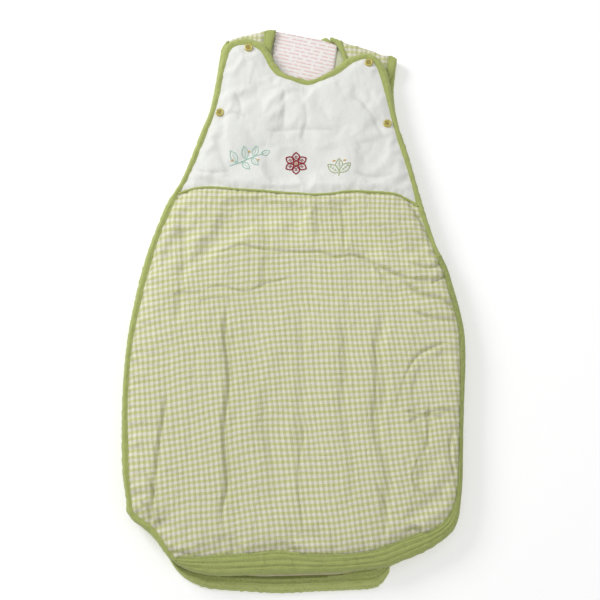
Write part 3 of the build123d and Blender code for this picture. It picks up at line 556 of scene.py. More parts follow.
def tri_region(poly, spacing, extra=(), jitter=0.18, seed=1):
    """Triangles inside a polygon: (points, triangles). extra are open lines that the triangles follow."""
    poly = np.array(poly, float)
    lo, hi = poly.min(0), poly.max(0)
    rng = np.random.RandomState(seed)
    rows = []
    dy = spacing * 0.866
    for k, y in enumerate(np.arange(lo[1], hi[1], dy)):
        xs = np.arange(lo[0] + (k % 2) * spacing / 2, hi[0], spacing)
        rows.append(np.stack([xs, np.full(len(xs), y)], 1))
    P = np.vstack(rows)
    P = P + rng.uniform(-jitter, jitter, P.shape) * spacing
    P = P[inside(P, poly)]
    P = P[dist_to(P, poly, True) > spacing * 0.55]
    for e in extra:
        P = P[dist_to(P, e) > spacing * 0.45]
    verts = [Vector(p) for p in poly] + [Vector(p) for p in P]
    n = len(poly)
    edges = [(i, (i + 1) % n) for i in range(n)]
    k = len(verts)
    for e in extra:
        verts += [Vector(p) for p in e]
        edges += [(k + i, k + i + 1) for i in range(len(e) - 1)]
        k += len(e)
    ov, oe, of, a, b, c = geometry.delaunay_2d_cdt(verts, edges, [], 1, 1e-4, True)
    pts = np.array([[v.x, v.y] for v in ov])
    tris = np.array([f for f in of if len(f) == 3], int)
    A, B, C2 = pts[tris[:, 0]], pts[tris[:, 1]], pts[tris[:, 2]]
    area = (B[:, 0] - A[:, 0]) * (C2[:, 1] - A[:, 1]) - (B[:, 1] - A[:, 1]) * (C2[:, 0] - A[:, 0])
    tris[area < 0] = tris[area < 0][:, ::-1]
    cen = (A + B + C2) / 3
    tris = tris[inside(cen, poly) & (np.abs(area) > 1e-6)]
    return pts, tris


def boundary_loop(tris):
    """Directed boundary edges of a triangle set, chained."""
    cnt = {}
    for t in tris:
        for a, b in ((t[0], t[1]), (t[1], t[2]), (t[2], t[0])):
            cnt[(int(a), int(b))] = 1
    nxt = {a: b for (a, b) in cnt if (b, a) not in cnt}
    start = next(iter(nxt))
    loop, cur = [start], nxt[start]
    while cur != start and len(loop) <= len(nxt):
        loop.append(cur)
        cur = nxt[cur]
    return loop


def closed_pad(pts, tris, ztop, zbot, side_bulge=1.2):
    """Top sheet, bottom sheet and a rounded side between them. Returns V, F, kind (0 top, 1 side, 2 bottom)."""
    n = len(pts)
    loop = boundary_loop(tris)
    L = len(loop)
    ring = pts[loop]
    t = np.roll(ring, -1, 0) - np.roll(ring, 1, 0)
    t /= np.linalg.norm(t, axis=1)[:, None] + 1e-9
    nrm = np.stack([t[:, 1], -t[:, 0]], 1)
    zt, zb = ztop[loop], zbot[loop]
    mid = np.column_stack([ring + nrm * side_bulge, (zt + zb) / 2])
    V = np.vstack([np.column_stack([pts, ztop]), np.column_stack([pts, zbot]), mid])
    F = [tuple(x) for x in tris] + [(x[0] + n, x[2] + n, x[1] + n) for x in tris]
    kind = [0] * len(tris) + [2] * len(tris)
    for i in range(L):
        j = (i + 1) % L
        a, b = loop[i], loop[j]
        F.append((a, 2 * n + i, 2 * n + j, b))
        F.append((2 * n + i, a + n, b + n, 2 * n + j))
        kind += [1, 1]
    return V, F, np.array(kind)


def sweep(S, closed=True, caps=True):
    """S is stations x section points x 3. Returns V, F."""
    n, k = S.shape[:2]
    V = S.reshape(-1, 3)
    F = []
    kk = k if closed else k - 1
    for i in range(n - 1):
        for j in range(kk):
            a, b = i * k + j, i * k + (j + 1) % k
            F.append((a, b, b + k, a + k))
    if caps and closed:
        F.append(tuple(range(k))[::-1])
        F.append(tuple((n - 1) * k + j for j in range(k)))
    return V, F


def sweep_uv(S):
    n, k = S.shape[:2]
    mid = S.mean(1)
    u = np.concatenate([[0], np.cumsum(np.linalg.norm(np.diff(mid, axis=0), axis=1))])
    d = np.linalg.norm(np.diff(S, axis=1), axis=2).mean(0)
    v = np.concatenate([[0], np.cumsum(d)])
    return np.stack([np.repeat(u, k), np.tile(v, n)], 1)


def tube(line, r, sides=6, taper=True):
    """A round thread along a 3-D line."""
    P = np.array(line, float)
    T = np.gradient(P, axis=0)
    T /= np.linalg.norm(T, axis=1)[:, None] + 1e-12
    up = np.array([0, 0, 1.0])
    N = np.cross(T, up)
    bad = np.linalg.norm(N, axis=1) < 1e-6
    N[bad] = np.array([1.0, 0, 0])
    N /= np.linalg.norm(N, axis=1)[:, None]
    B = np.cross(N, T)
    rr = np.full(len(P), r, float)
    if taper:
        rr[0] *= 0.45
        rr[-1] *= 0.45
    a = np.linspace(0, 2 * math.pi, sides, endpoint=False)
    S = P[:, None, :] + rr[:, None, None] * (np.cos(a)[None, :, None] * N[:, None, :] + np.sin(a)[None, :, None] * B[:, None, :])
    return sweep(S)


class Bag:
    """Collects pieces of geometry into one mesh."""
    def __init__(self):
        self.V, self.F, self.I, self.U, self.n = [], [], [], [], 0

    def add(self, V, F, idx=0, uv=None):
        V = np.array(V, float)
        self.V.append(V)
        self.F += [tuple(int(i) + self.n for i in f) for f in F]
        self.I += [idx] * len(F) if np.isscalar(idx) else list(idx)
        self.U.append(np.array(uv, float) if uv is not None else V[:, :2].copy())
        self.n += len(V)

    def make(self, name, mats, body=None, flat=False):
        return put(name, np.vstack(self.V), self.F, mats, self.I, np.vstack(self.U), body, flat)


def stitches(line3, pitch=2.7, length=1.9, r=0.22, sides=5):
    """A row of thread stitches lying along a 3-D line."""
    L = np.array(line3, float)
    s = arc(L)
    V, F, n = [], [], 0
    for a in np.arange(0.8, s[-1] - length, pitch):
        t = a + np.linspace(0, 1, 4) * length
        P = np.stack([np.interp(t, s, L[:, k]) for k in range(3)], 1)
        P[:, 2] += np.array([-0.12, 0.1, 0.1, -0.12])
        v, f = tube(P, r, sides, False)
        V.append(v)
        F += [tuple(i + n for i in x) for x in f]
        n += len(v)
    return (np.vstack(V), F) if V else (np.zeros((0, 3)), [])


C = {k: smooth(v) for k, v in dict(
    FO_TAB_L=FO_TAB_L, FO_NECK=FO_NECK, FO_TAB_R=FO_TAB_R, FO_ARM_R=FO_ARM_R, FO_ZIP=FO_ZIP,
    FO_CORNER=FO_CORNER, FO_SIDE_L=FO_SIDE_L, FO_ARM_L=FO_ARM_L,
    FI_TAB_L=FI_TAB_L, FI_NECK=FI_NECK, FI_TAB_R=FI_TAB_R, FI_ARM_R=FI_ARM_R, FI_ZIP=FI_ZIP,
    FI_CORNER=FI_CORNER, FI_SIDE_L=FI_SIDE_L, FI_ARM_L=FI_ARM_L, PIPING=PIPING,
    BO_FOLD_L=BO_FOLD_L, BO_NECK=BO_NECK, BO_FOLD_R=BO_FOLD_R, BO_ARM_R=BO_ARM_R, BO_ZIP=BO_ZIP,
    BO_ARM_L=BO_ARM_L, BI_ARM_L=BI_ARM_L, BI_FOLD_L=BI_FOLD_L, BI_NECK=BI_NECK, BI_FOLD_R=BI_FOLD_R,
    BI_ARM_R=BI_ARM_R, BI_ZIP=BI_ZIP).items()}
C["FI_ARM_L"][0] = C["FI_SIDE_L"][-1]

AX0, AX1 = np.array(AXIS_F[0]), np.array(AXIS_F[1])
AXD = (AX1 - AX0) / np.linalg.norm(AX1 - AX0)
RIGHT = np.array([-AXD[1], AXD[0]])
BL0, BL1 = np.array(BASE_L[0]), np.array(BASE_L[1])
BR0, BR1 = np.array(BASE_R[0]), np.array(BASE_R[1])


def unit(v):
    return np.array(v, float) / np.linalg.norm(v)


HEM = 12.0                                  # the tab pads start this far below the tab fold lines
FOLD_Z = 25.0

# ------------------------------------------------------------------ shared outlines
def path(*names):
    return cat(*[C[n] for n in names])


front_edge = path("FI_TAB_L", "FI_NECK", "FI_TAB_R", "FI_ARM_R", "FI_ZIP", "FI_CORNER", "FI_SIDE_L", "FI_ARM_L")
if np.linalg.norm(front_edge[0] - front_edge[-1]) < 0.5:
    front_edge = front_edge[:-1]
UNDER = 2.2                                  # how far the padding goes under the bindings


def grow(poly, d):
    """Moves a closed outline outwards by d."""
    P = np.array(poly, float)
    area = 0.5 * np.sum(P[:, 0] * np.roll(P[:, 1], -1) - np.roll(P[:, 0], -1) * P[:, 1])
    t = np.roll(P, -1, 0) - np.roll(P, 1, 0)
    t /= np.linalg.norm(t, axis=1)[:, None] + 1e-9
    n = np.stack([t[:, 1], -t[:, 0]], 1) * (1 if area > 0 else -1)
    return P + n * d


def even(poly, step):
    P = np.vstack([poly, poly[:1]])
    return resample(P, max(8, int(arc(P)[-1] / step)))[:-1]


SH_L, SH_R, UA_L, UA_R = [np.array(p, float) for p in POPPERS]


def cut_line(p, q, below):
    """A line parallel to a tab's fold line, some mm below it, long enough to cross the tab."""
    d = unit(q - p)
    up = np.array([-d[1], d[0]])
    return p - d * 30 - up * below, q + d * 30 - up * below


def clip_to(line, poly):
    """The stretch of a densely sampled straight line that lies inside a polygon."""
    L = resample(np.array(line), 240)
    k = inside(L, poly)
    return L[k]


# ------------------------------------------------------------------ the front: one padded layer from the foot to the shoulder tabs
P_FRONT = even(grow(front_edge, UNDER), 6.0)
SP = 6.6
pip_line = C["PIPING"]
pip_in = clip_to(pip_line, P_FRONT)
pip_in = resample(pip_line[inside(pip_line, grow(front_edge, UNDER - 2.0))], 52)
cuts = []
for a, b in ((BL0, BL1), (BR0, BR1)):
    L = clip_to(cut_line(a, b, 7.0), grow(front_edge, UNDER - 1.0))
    cuts.append(resample(L, 14))
pts, tris = tri_region(P_FRONT, SP, [pip_in] + cuts, 0.16, 3)

d_edge = dist_to(pts, front_edge, True)
d_edge = np.where(inside(pts, front_edge), d_edge, 0.0)
d_pip = dist_to(pts, pip_line)
above_pip = np.array([p[1] > np.interp(p[0], pip_line[:, 0], pip_line[:, 1]) for p in pts])


def fold_side(P, p, q):
    d = unit(q - p)
    return (P - p) @ np.array([-d[1], d[0]])


f_l, f_r = fold_side(pts, BL0, BL1), fold_side(pts, BR0, BR1)
on_l = (f_l > -60) & (pts[:, 0] < 15) & (pts[:, 1] > 225)
on_r = (f_r > -60) & (pts[:, 0] > 15) & (pts[:, 1] > 225)
d_fold = np.minimum(np.where(on_l, np.abs(f_l), 999), np.where(on_r, np.abs(f_r), 999))
tabness = np.where((f_l > 0) & (pts[:, 0] < 15) & (pts[:, 1] > 250), sstep(0, 10, f_l), 0) \
    + np.where((f_r > 0) & (pts[:, 0] > 15) & (pts[:, 1] > 250), sstep(0, 10, f_r), 0)
d_pop = np.min([np.linalg.norm(pts - c, axis=1) for c in (SH_L, SH_R, UA_L, UA_R)], axis=0)
d_axis = np.abs((pts - AX0) @ RIGHT)


def target_top(pts, d_edge, d_pip, above, d_fold, d_pop, tabness):
    """Resting height of the upper cloth."""
    lift = 1 - np.exp(-d_edge / 13.0)
    z = 22.9 + lift * np.where(above, 3.6, 5.6)
    z = z - (np.where(above, 1.7, 3.2)) * np.exp(-(d_pip / np.where(above, 7.0, 9.0)) ** 1.3) * np.minimum(1, lift * 3)
    z = np.where(d_fold < 60, np.minimum(z, 25.1 + 0.022 * d_fold + 0.0 * z), z)
    z = z + 0.7 * vnoise(pts[:, 0], pts[:, 1], 62, 4) * lift + 0.45 * vnoise(pts[:, 0], pts[:, 1], 27, 9) * lift
    z = z - (z - 24.55) * np.exp(-(d_pop / 9.0) ** 2)
    return z


z_top = target_top(pts, d_edge, d_pip, above_pip, d_fold, d_pop, tabness)
z_bot = 16.2 + 2.3 * tabness + 1.6 * np.exp(-d_edge / 6.0)
VF, FF, kF = closed_pad(pts, tris, z_top, z_bot, 0.8)
nP = len(pts)
L_ring = VF[2 * nP:, :2]

# mark the region of each face: 0 main, 1 yoke, 2 left tab, 3 right tab
cen = np.array([np.mean(VF[list(f)], axis=0) for f in FF])
cy = np.interp(cen[:, 0], pip_line[:, 0], pip_line[:, 1])
region = np.where(cen[:, 1] > cy, 1, 0)
cl, cr = fold_side(cen[:, :2], BL0, BL1), fold_side(cen[:, :2], BR0, BR1)
region = np.where((cl > -7.0) & (cen[:, 0] < 15) & (cen[:, 1] > 240), 2, region)
region = np.where((cr > -7.0) & (cen[:, 0] > 15) & (cen[:, 1] > 240), 3, region)
mat_of = {0: 0, 1: 1, 2: 1, 3: 1}
face_mat = np.array([2 if k == 2 else mat_of[r] for k, r in zip(kF, region)])


def phi(y):
    return math.radians(3.4) * sstep(150, -330, y)


ys = np.linspace(-400, 400, 801)
Fint = np.concatenate([[0], np.cumsum(np.tan(phi(ys[:-1])) * 1.0)])
Fint = Fint - np.interp(150, ys, Fint)


def check_uv(x, y):
    """Cloth coordinates of the gingham, in check periods: the checks turn a little towards the foot end."""
    turn = sstep(170, -330, y)
    rows = y - 0.074 * turn * x + 0.00011 * turn * x * x + 0.00016 * np.maximum(0, x - 40) ** 2 * sstep(-40, 60, y)
    drift = 2.2 * vnoise(x, y, 90, 41) + 1.0 * vnoise(x, y, 34, 42)
    low = 90 - y
    lean = -0.07 * 0.5 * (low + np.sqrt(low * low + 1600))
    dl = -40 - x
    rows = rows + 0.12 * 0.5 * (dl + np.sqrt(dl * dl + 400)) * sstep(120, 20, y)
    dr = x - 60
    rows = rows - 0.08 * 0.5 * (dr + np.sqrt(dr * dr + 400)) * sstep(-60, -200, y)
    return np.stack([(x + np.interp(y, ys, Fint) + drift + lean) / 6.16, (rows + 2.6 * vnoise(x, y, 80, 43) + 1.3 * vnoise(x, y, 34, 44)) / 7.0], 1)


me = bpy.data.meshes.new("front_sim")
me.from_pydata((VF * MM).tolist(), [], FF)
for key in ("gingham", "white", "lining"):
    me.materials.append(M[key])
me.polygons.foreach_set("material_index", face_mat.astype(np.int32))
reg = me.attributes.new("region", "INT", "FACE")
reg.data.foreach_set("value", region.astype(np.int32))
me.polygons.foreach_set("use_smooth", np.ones(len(me.polygons), bool))
me.update()
fob = bpy.data.objects.new("front_sim", me)
bpy.context.scene.collection.objects.link(fob)
orient(fob)
me = fob.data

rest = VF.copy()
# the cloth is held along the bindings, the yoke seam, the tab fold lines and the fasteners, and pushed out by its wadding
w = np.zeros(len(VF))
hold = np.zeros(nP)
hold = np.maximum(hold, (d_edge < 2.0) * 1.0)
hold = np.maximum(hold, (d_pip < 1.2) * 1.0)
hold = np.maximum(hold, (d_pop < 8.0) * 1.0)
hold = np.maximum(hold, np.where(d_fold < 12.0, 1.0, 0.0))
w[:nP] = hold
w[nP:2 * nP] = 1.0
w[2 * nP:] = 1.0
vg = fob.vertex_groups.new(name="held")
for i in np.nonzero(w > 0)[0]:
    vg.add([int(i)], float(w[i]), "REPLACE")
md = fob.modifiers.new("cloth", "CLOTH")
cs = md.settings
cs.quality = 6
cs.mass = 0.12
cs.tension_stiffness = 18
cs.compression_stiffness = 18
cs.shear_stiffness = 6
cs.bending_stiffness = 0.35
cs.vertex_group_mass = "held"
cs.pin_stiffness = 1.0
cs.shrink_min = -0.035
cs.use_pressure = True
cs.uniform_pressure_force = 1.6
cs.effector_weights.gravity = 0.0
md.collision_settings.use_collision = False
md.collision_settings.use_self_collision = False
md.point_cache.frame_start = 1
md.point_cache.frame_end = 20
sc = bpy.context.scene
sc.frame_start, sc.frame_end = 1, 20
for fr in range(1, 17):
    sc.frame_set(fr)
    bpy.context.view_layer.update()
dg = bpy.context.evaluated_depsgraph_get()
ev = fob.evaluated_get(dg)
tmp = ev.to_mesh()
sim = np.empty(len(VF) * 3)
tmp.vertices.foreach_get("co", sim)
sim = sim.reshape(-1, 3) / MM
ev.to_mesh_clear()
fob.modifiers.clear()
sc.frame_set(1)
mv = sim - rest
if not np.isfinite(mv).all():
    mv = np.zeros_like(mv)
mv[nP:] = 0
room = np.minimum(1, d_edge / 10)
mv[:nP, 2] = np.clip(mv[:nP, 2], -2.6, 3.2) * 0.85
xy = np.linalg.norm(mv[:nP, :2], axis=1)
mv[:nP, :2] *= np.minimum(1, 2.2 / np.maximum(xy, 1e-6))[:, None]
print("cloth moved up to", round(float(np.abs(mv[:nP, 2]).max()), 2), "mm, spread", round(float(mv[:nP, 2].std()), 2))
VF = rest + mv
me.vertices.foreach_set("co", (VF * MM).ravel())
me.update()


def subdivide(ob, levels=1):
    md = ob.modifiers.new("sub", "SUBSURF")
    md.levels = levels
    md.render_levels = levels
    md.subdivision_type = "CATMULL_CLARK"
    md.boundary_smooth = "PRESERVE_CORNERS"
    dg = bpy.context.evaluated_depsgraph_get()
    new = bpy.data.meshes.new_from_object(ob.evaluated_get(dg))
    old = ob.data
    ob.modifiers.clear()
    ob.data = new
    bpy.data.meshes.remove(old)
    return ob


bpy.context.view_layer.update()
subdivide(fob, 2)
me = fob.data
nv = len(me.vertices)
co = np.empty(nv * 3)
me.vertices.foreach_get("co", co)
co = co.reshape(-1, 3) / MM
no = np.empty(nv * 3)
me.vertices.foreach_get("normal", no)
no = no.reshape(-1, 3)
upper = sstep(0.1, 0.6, no[:, 2]) * (co[:, 2] > 20)


def crease(pts2, line, width, depth, ridge=0.5, side=1.0):
    """A pressed-in fold along a line, with a soft ridge beside it; it fades towards both ends."""
    L = resample(smooth(line, 4.0), 60)
    reach = 6.5 * width
    near = np.all((pts2 > L.min(0) - reach) & (pts2 < L.max(0) + reach), axis=1)
    out = np.zeros(len(pts2))
    pts2 = pts2[near]
    best = np.full(len(pts2), 1e9)
    sgn = np.zeros(len(pts2))
    par = np.zeros(len(pts2))
    for i in range(len(L) - 1):
        a, b = L[i], L[i + 1]
        ab = b - a
        t = np.clip(((pts2 - a) @ ab) / max(ab @ ab, 1e-9), 0, 1)
        q = pts2 - a - t[:, None] * ab
        d = np.linalg.norm(q, axis=1)
        better = d < best
        best = np.where(better, d, best)
        sgn = np.where(better, np.sign(ab[0] * q[:, 1] - ab[1] * q[:, 0]), sgn)
        par = np.where(better, (i + t) / (len(L) - 1), par)
    fade = sstep(0, 0.18, par) * sstep(1, 0.82, par)
    x = best * sgn * side
    out[near] = fade * (-depth * np.exp(-(x / width) ** 2) + ridge * depth * np.exp(-((x - 2.4 * width) / (1.9 * width)) ** 2))
    return out


dz = np.zeros(nv)
# painted shade: how much the cloth colour is darkened in creases, seams and tuck-ins
deep = np.zeros(nv)
FOLDS = [
    ([(-121.0, 39.0), (-89.3, 41.6), (-67.4, 49.3), (-40.5, 44.2), (6.0, 40.3), (32.8, 40.3), (49.9, 33.9), (69.4, 36.5), (93.7, 28.8), (107.9, 11.0), (129.5, 2.2)], 1.7, 1.5, 0.7, -1),
    ([(93.7, 28.8), (127.3, 11.0), (151.4, 6.0), (180.6, 8.5)], 2.0, 1.3, 0.7, 1),
    ([(163.3, 1.0), (180.7, 11.0), (188.1, 16.1)], 1.6, 1.5, 0.7, 1),
    ([(-119.6, -7.8), (-88.3, -2.8), (-59.2, -9.1), (-32.8, 1.0), (6.0, 11.0)], 1.8, 1.0, 0.6, -1),
    ([(-150.8, -14.1), (-131.6, -10.3), (-107.6, -6.6)], 1.7, 0.9, 0.6, 1),
    ([(-121.6, -22.8), (-96.5, -16.6), (-71.2, -16.6)], 1.7, 0.7, 0.6, 1),
    ([(-79.8, -9.1), (-83.5, -61.1), (-77.7, -116.7), (-82.3, -175.5), (-77.6, -238.3), (-82.6, -271.8), (-75.1, -308.1)], 3.2, 1.3, 0.5, 1),
    ([(-77.2, -19.1), (-74.1, -116.7), (-74.7, -210.0), (-69.6, -299.3)], 7.5, 1.2, 0.2, 1),
    ([(112.0, -19.1), (100.0, -74.5), (104.7, -128.6), (95.4, -175.5), (108.0, -232.7), (96.1, -304.8)], 7.0, 1.5, 0.3, 1),
    ([(94.4, -56.2), (95.5, -116.7), (89.6, -175.5)], 2.2, 0.8, 0.6, 1),
    ([(10.7, -152.1), (9.5, -187.0), (3.7, -221.4), (10.5, -299.3)], 2.0, 0.7, 0.6, 1),
    ([(-149.1, -128.6), (-156.2, -187.0), (-163.9, -282.9)], 3.0, 1.5, 0.5, 1),
    ([(-171.0, -221.4), (-158.2, -255.1), (-152.4, -288.4)], 1.8, 0.9, 0.6, 1),
    ([(154.8, -140.4), (154.9, -169.7), (151.4, -204.3)], 2.0, 1.5, 0.6, -1),
    ([(137.5, 28.8), (164.0, 21.2), (184.0, 33.9)], 1.9, 1.3, 0.7, 1),
    ([(129.6, 8.5), (150.8, -11.6), (179.5, -19.1), (195.7, -34.0)], 2.0, 1.6, 0.7, 1),
    ([(138.1, -31.5), (164.2, -41.4), (195.3, -43.9)], 1.9, 1.2, 0.7, 1),
    ([(113.2, -163.8), (126.0, -121.4), (145.9, -87.8), (187.1, -68.4)], 1.9, 1.3, 0.7, -1),
    ([(122.8, -152.1), (146.0, -156.8), (169.5, -152.1), (190.5, -154.5)], 1.8, 1.4, 0.7, 1),
    ([(127.0, -168.5), (152.9, -159.2), (176.2, -161.5)], 1.7, 1.0, 0.7, 1),
    ([(182.6, -175.5), (179.1, -204.3), (184.8, -232.7)], 1.9, 1.3, 0.7, 1),
    ([(139.9, 109.3), (153.9, 83.0), (170.0, 51.9)], 2.4, 0.9, 0.6, 1),
    ([(-0.8, -299.3), (1.5, -310.2), (4.9, -322.2)], 1.8, 1.2, 0.7, 1),
    ([(123.5, -292.8), (132.7, -286.2), (141.7, -289.5), (145.8, -300.4)], 1.7, 1.4, 0.7, 1),
    ([(-178.7, -255.1), (-164.5, -268.5), (-161.7, -281.8)], 1.8, 1.0, 0.7, 1),
    ([(-166.8, -321.1), (-133.4, -312.4), (-110.8, -316.8)], 1.8, 0.8, 0.6, 1),
    ([(154.2, -255.1), (134.4, -232.7), (144.6, -200.8)], 2.2, 0.8, 0.6, 1),
    ([(93.1, -232.7), (103.8, -266.3), (100.7, -299.3)], 2.0, 0.9, 0.6, 1),
    ([(55.6, 109.3), (60.1, 70.0), (57.1, 28.8)], 2.2, 0.6, 0.6, 1),
    ([(-53.4, 296.4), (-55.8, 282.1), (-59.4, 265.1)], 2.0, 0.8, 0.6, 1),
    ([(-15.8, 267.9), (-14.4, 239.8), (-16.8, 198.2)], 2.6, 0.8, 0.5, 1),
    ([(-42.1, 201.0), (-4.2, 206.5), (59.1, 203.7)], 2.4, 0.6, 0.6, 1),
    ([(-100.7, 220.3), (-80.6, 228.6), (-57.5, 220.3)], 2.4, 0.6, 0.6, 1),
    ([(72.6, 256.6), (95.1, 228.6), (114.5, 187.2)], 2.8, 0.7, 0.5, 1),
    ([(-81.2, 262.3), (-70.6, 239.8), (-72.7, 212.0)], 2.4, 0.5, 0.5, 1),
    ([(11.1, 245.4), (13.6, 217.5), (6.0, 187.2)], 2.2, 0.6, 0.5, 1),
    ([(-124.2, 152.0), (-101.5, 146.6), (-79.1, 149.3)], 2.2, 0.6, 0.5, 1),
    ([(71.0, 146.6), (100.9, 141.2), (128.5, 146.6)], 2.4, 0.6, 0.5, 1),
    ([(-40.9, 89.6), (-35.7, 57.0), (-39.8, -19.1)], 7.0, 0.7, 0.3, 1),
    ([(-142.2, 89.6), (-135.8, 44.2), (-142.2, -56.2)], 6.0, 1.0, 0.4, 1),
    ([(6.0, -19.1), (8.3, -116.7), (3.7, -221.4)], 9.0, 0.8, 0.3, 1),
    ([(49.4, -19.1), (59.4, -83.0), (53.9, -152.1), (64.6, -221.4), (60.2, -290.6)], 6.5, 0.45, 0.3, 1),
    ([(149.6, -83.0), (135.9, -142.7), (146.9, -200.8), (129.6, -277.4)], 6.5, 0.5, 0.3, -1),
    ([(-31.8, -107.1), (-39.5, -163.8), (-26.2, -221.4), (-34.8, -277.4)], 8.0, 0.3, 0.3, 1),
]
for line, width, depth, ridge, side in FOLDS:
    width, depth = (1.35 * width, depth) if width < 2.9 else (width, 1.45 * depth)
    c_ = crease(co[:, :2], line, width, depth, ridge, side)
    dz += 1.8 * c_
    # painted shade: narrow creases also darken the cloth colour
    deep = np.maximum(deep, (0.8 if width < 4 else 0.52) * np.clip(-c_ / depth, 0, 1) ** 2 * min(1.0, 4.4 / width))
rough_edge = even(front_edge, 7.0)
de = dist_to(co[:, :2], rough_edge, True)
de = np.where(inside(co[:, :2], front_edge), de, 0)
# gathers: short folds that run in from the bindings and the seam
tt = np.arctan2(co[:, 1] + 40, co[:, 0])
edge_s = np.zeros(nv)
L = np.vstack([rough_edge, rough_edge[:1]])
s_arc = arc(L)
rim = de < 75
pr = co[rim][:, :2]
bd = np.full(len(pr), 1e9)
es = np.zeros(len(pr))
for i in range(len(L) - 1):
    a, b = L[i], L[i + 1]
    ab = b - a
    t = np.clip(((pr - a) @ ab) / max(ab @ ab, 1e-9), 0, 1)
    d = np.linalg.norm(pr - a - t[:, None] * ab, axis=1)
    k = d < bd
    bd = np.where(k, d, bd)
    es = np.where(k, s_arc[i] + t * (s_arc[i + 1] - s_arc[i]), es)
edge_s[rim] = es
dp = dist_to(co[:, :2], resample(pip_line, 60))
above = co[:, 1] > np.interp(co[:, 0], *pip_line[np.argsort(pip_line[:, 0])].T)
calm = np.where(above, 0.24, 1.0)
dz *= np.where(above, 0.75, 1.0)
gath = wob(edge_s, 5, 17.0) * np.exp(-de / 9.0) * sstep(0, 3, de) * 1.05
gath += wob(edge_s, 8, 36.0) * np.exp(-de / 24.0) * sstep(0, 8, de) * 0.9
dz += gath * calm
dz += wob(co[:, 0], 11, 15.0) * np.exp(-dp / 7.0) * sstep(0, 2.5, dp) * np.where(above, 0.3, 0.6)
dz += 0.22 * vnoise(co[:, 0], co[:, 1], 11, 21) * np.minimum(1, de / 8) * calm
# painted shade: the cloth colour is darkened where it tucks in under the bindings, the piping and the foot band
deep = np.maximum(deep, np.where(above, 0.10, 0.55) * np.exp(-(dp / 1.9) ** 2))
deep = np.maximum(deep, np.where(above, 0.12, 0.40) * np.exp(-(de / 1.8) ** 2))
dzip = dist_to(co[:, :2], resample(C["FI_ZIP"], 90))
deep = np.maximum(deep, 1.35 * np.exp(-(dzip / 1.25) ** 2))
pop = np.min([np.linalg.norm(co[:, :2] - c, axis=1) for c in (SH_L, SH_R, UA_L, UA_R)], axis=0)
dz *= sstep(5, 14, pop)
fl = np.minimum(np.where((co[:, 0] < 15) & (co[:, 1] > 225), np.abs(fold_side(co[:, :2], BL0, BL1)), 999),
                np.where((co[:, 0] > 15) & (co[:, 1] > 225), np.abs(fold_side(co[:, :2], BR0, BR1)), 999))
dz *= sstep(4, 22, fl)
co[:, 2] += dz * upper
# the upper cloth is capped at 31 mm
co[:, 2] = np.where(upper > 0.3, np.minimum(co[:, 2], 31.0), co[:, 2])
me.vertices.foreach_set("co", (co * MM).ravel())
# painted shade: the 'fold' attribute carries the darkening painted into creases, seams and tuck-ins
fa = me.attributes.new("fold", "FLOAT", "POINT")
fa.data.foreach_set("value", (deep * (upper > 0.3)).astype(np.float32))
me.update()
FRONT_CO = co.copy()

# cloth coordinates
lv = np.empty(len(me.loops), np.int32)
me.loops.foreach_get("vertex_index", lv)
mi = np.empty(len(me.polygons), np.int32)
me.polygons.foreach_get("material_index", mi)
lt = np.empty(len(me.polygons), np.int32)
me.polygons.foreach_get("loop_total", lt)
lmi = np.repeat(mi, lt)
ug = check_uv(co[:, 0], co[:, 1])[lv]
up_ = co[lv][:, :2]
uvall = np.where((lmi == 0)[:, None], ug, up_)
layer = me.uv_layers.get("UVMap") or me.uv_layers.new(name="UVMap")
layer.data.foreach_set("uv", uvall.astype(np.float32).ravel())

# height of the finished upper cloth, for what is sewn to it
from mathutils.bvhtree import BVHTree
bvh = BVHTree.FromObject(fob, bpy.context.evaluated_depsgraph_get())


def surf(x, y, default=25.0):
    hit = bvh.ray_cast(Vector((x * MM, y * MM, 0.2)), Vector((0, 0, -1)))
    return hit[0].z / MM if hit[0] is not None else default


def surf_many(P, default=25.0):
    return np.array([surf(x, y, default) for x, y in P])


def take(ob, name, regions, mats):
    """The faces of some regions as their own object."""
    src = ob.data
    new = src.copy()
    new.name = name
    bm = bmesh.new()
    bm.from_mesh(new)
    lay = bm.faces.layers.int["region"]
    drop = [f for f in bm.faces if f[lay] not in regions]
    bmesh.ops.delete(bm, geom=drop, context="FACES")
    bm.to_mesh(new)
    bm.free()
    o = bpy.data.objects.new(name, new)
    bpy.context.scene.collection.objects.link(o)
    return o


front_pad = take(fob, "front_panel_padded", {0}, None)
yoke_pad = take(fob, "yoke_panel_padded", {1}, None)
tab_pad_l = take(fob, "shoulder_tab_left_padded", {2}, None)
tab_pad_r = take(fob, "shoulder_tab_right_padded", {3}, None)
bpy.data.objects.remove(fob)


def fold_blend(ob):
    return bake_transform(ob)


def tab_blend(ob):
    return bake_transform(ob)


def declare(ob, slot, *nodes, fill=None):
    if nodes:
        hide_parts(*nodes)
    return ob


fold_blend(front_pad)
declare(front_pad, "gingham_cotton", "front_outer_panel", "front_wadding", "front_lining", "front_side_margin", fill=0.45)
fold_blend(yoke_pad)
declare(yoke_pad, "white_cotton", "yoke_panel", fill=0.4)
tab_blend(tab_pad_l)
tab_blend(tab_pad_r)
declare(tab_pad_l, "white_cotton", "tab_outer_left", "tab_wadding_left", "tab_lining_left", fill=0.4)
declare(tab_pad_r, "white_cotton", "tab_outer_right", "tab_wadding_right", "tab_lining_right", fill=0.4)

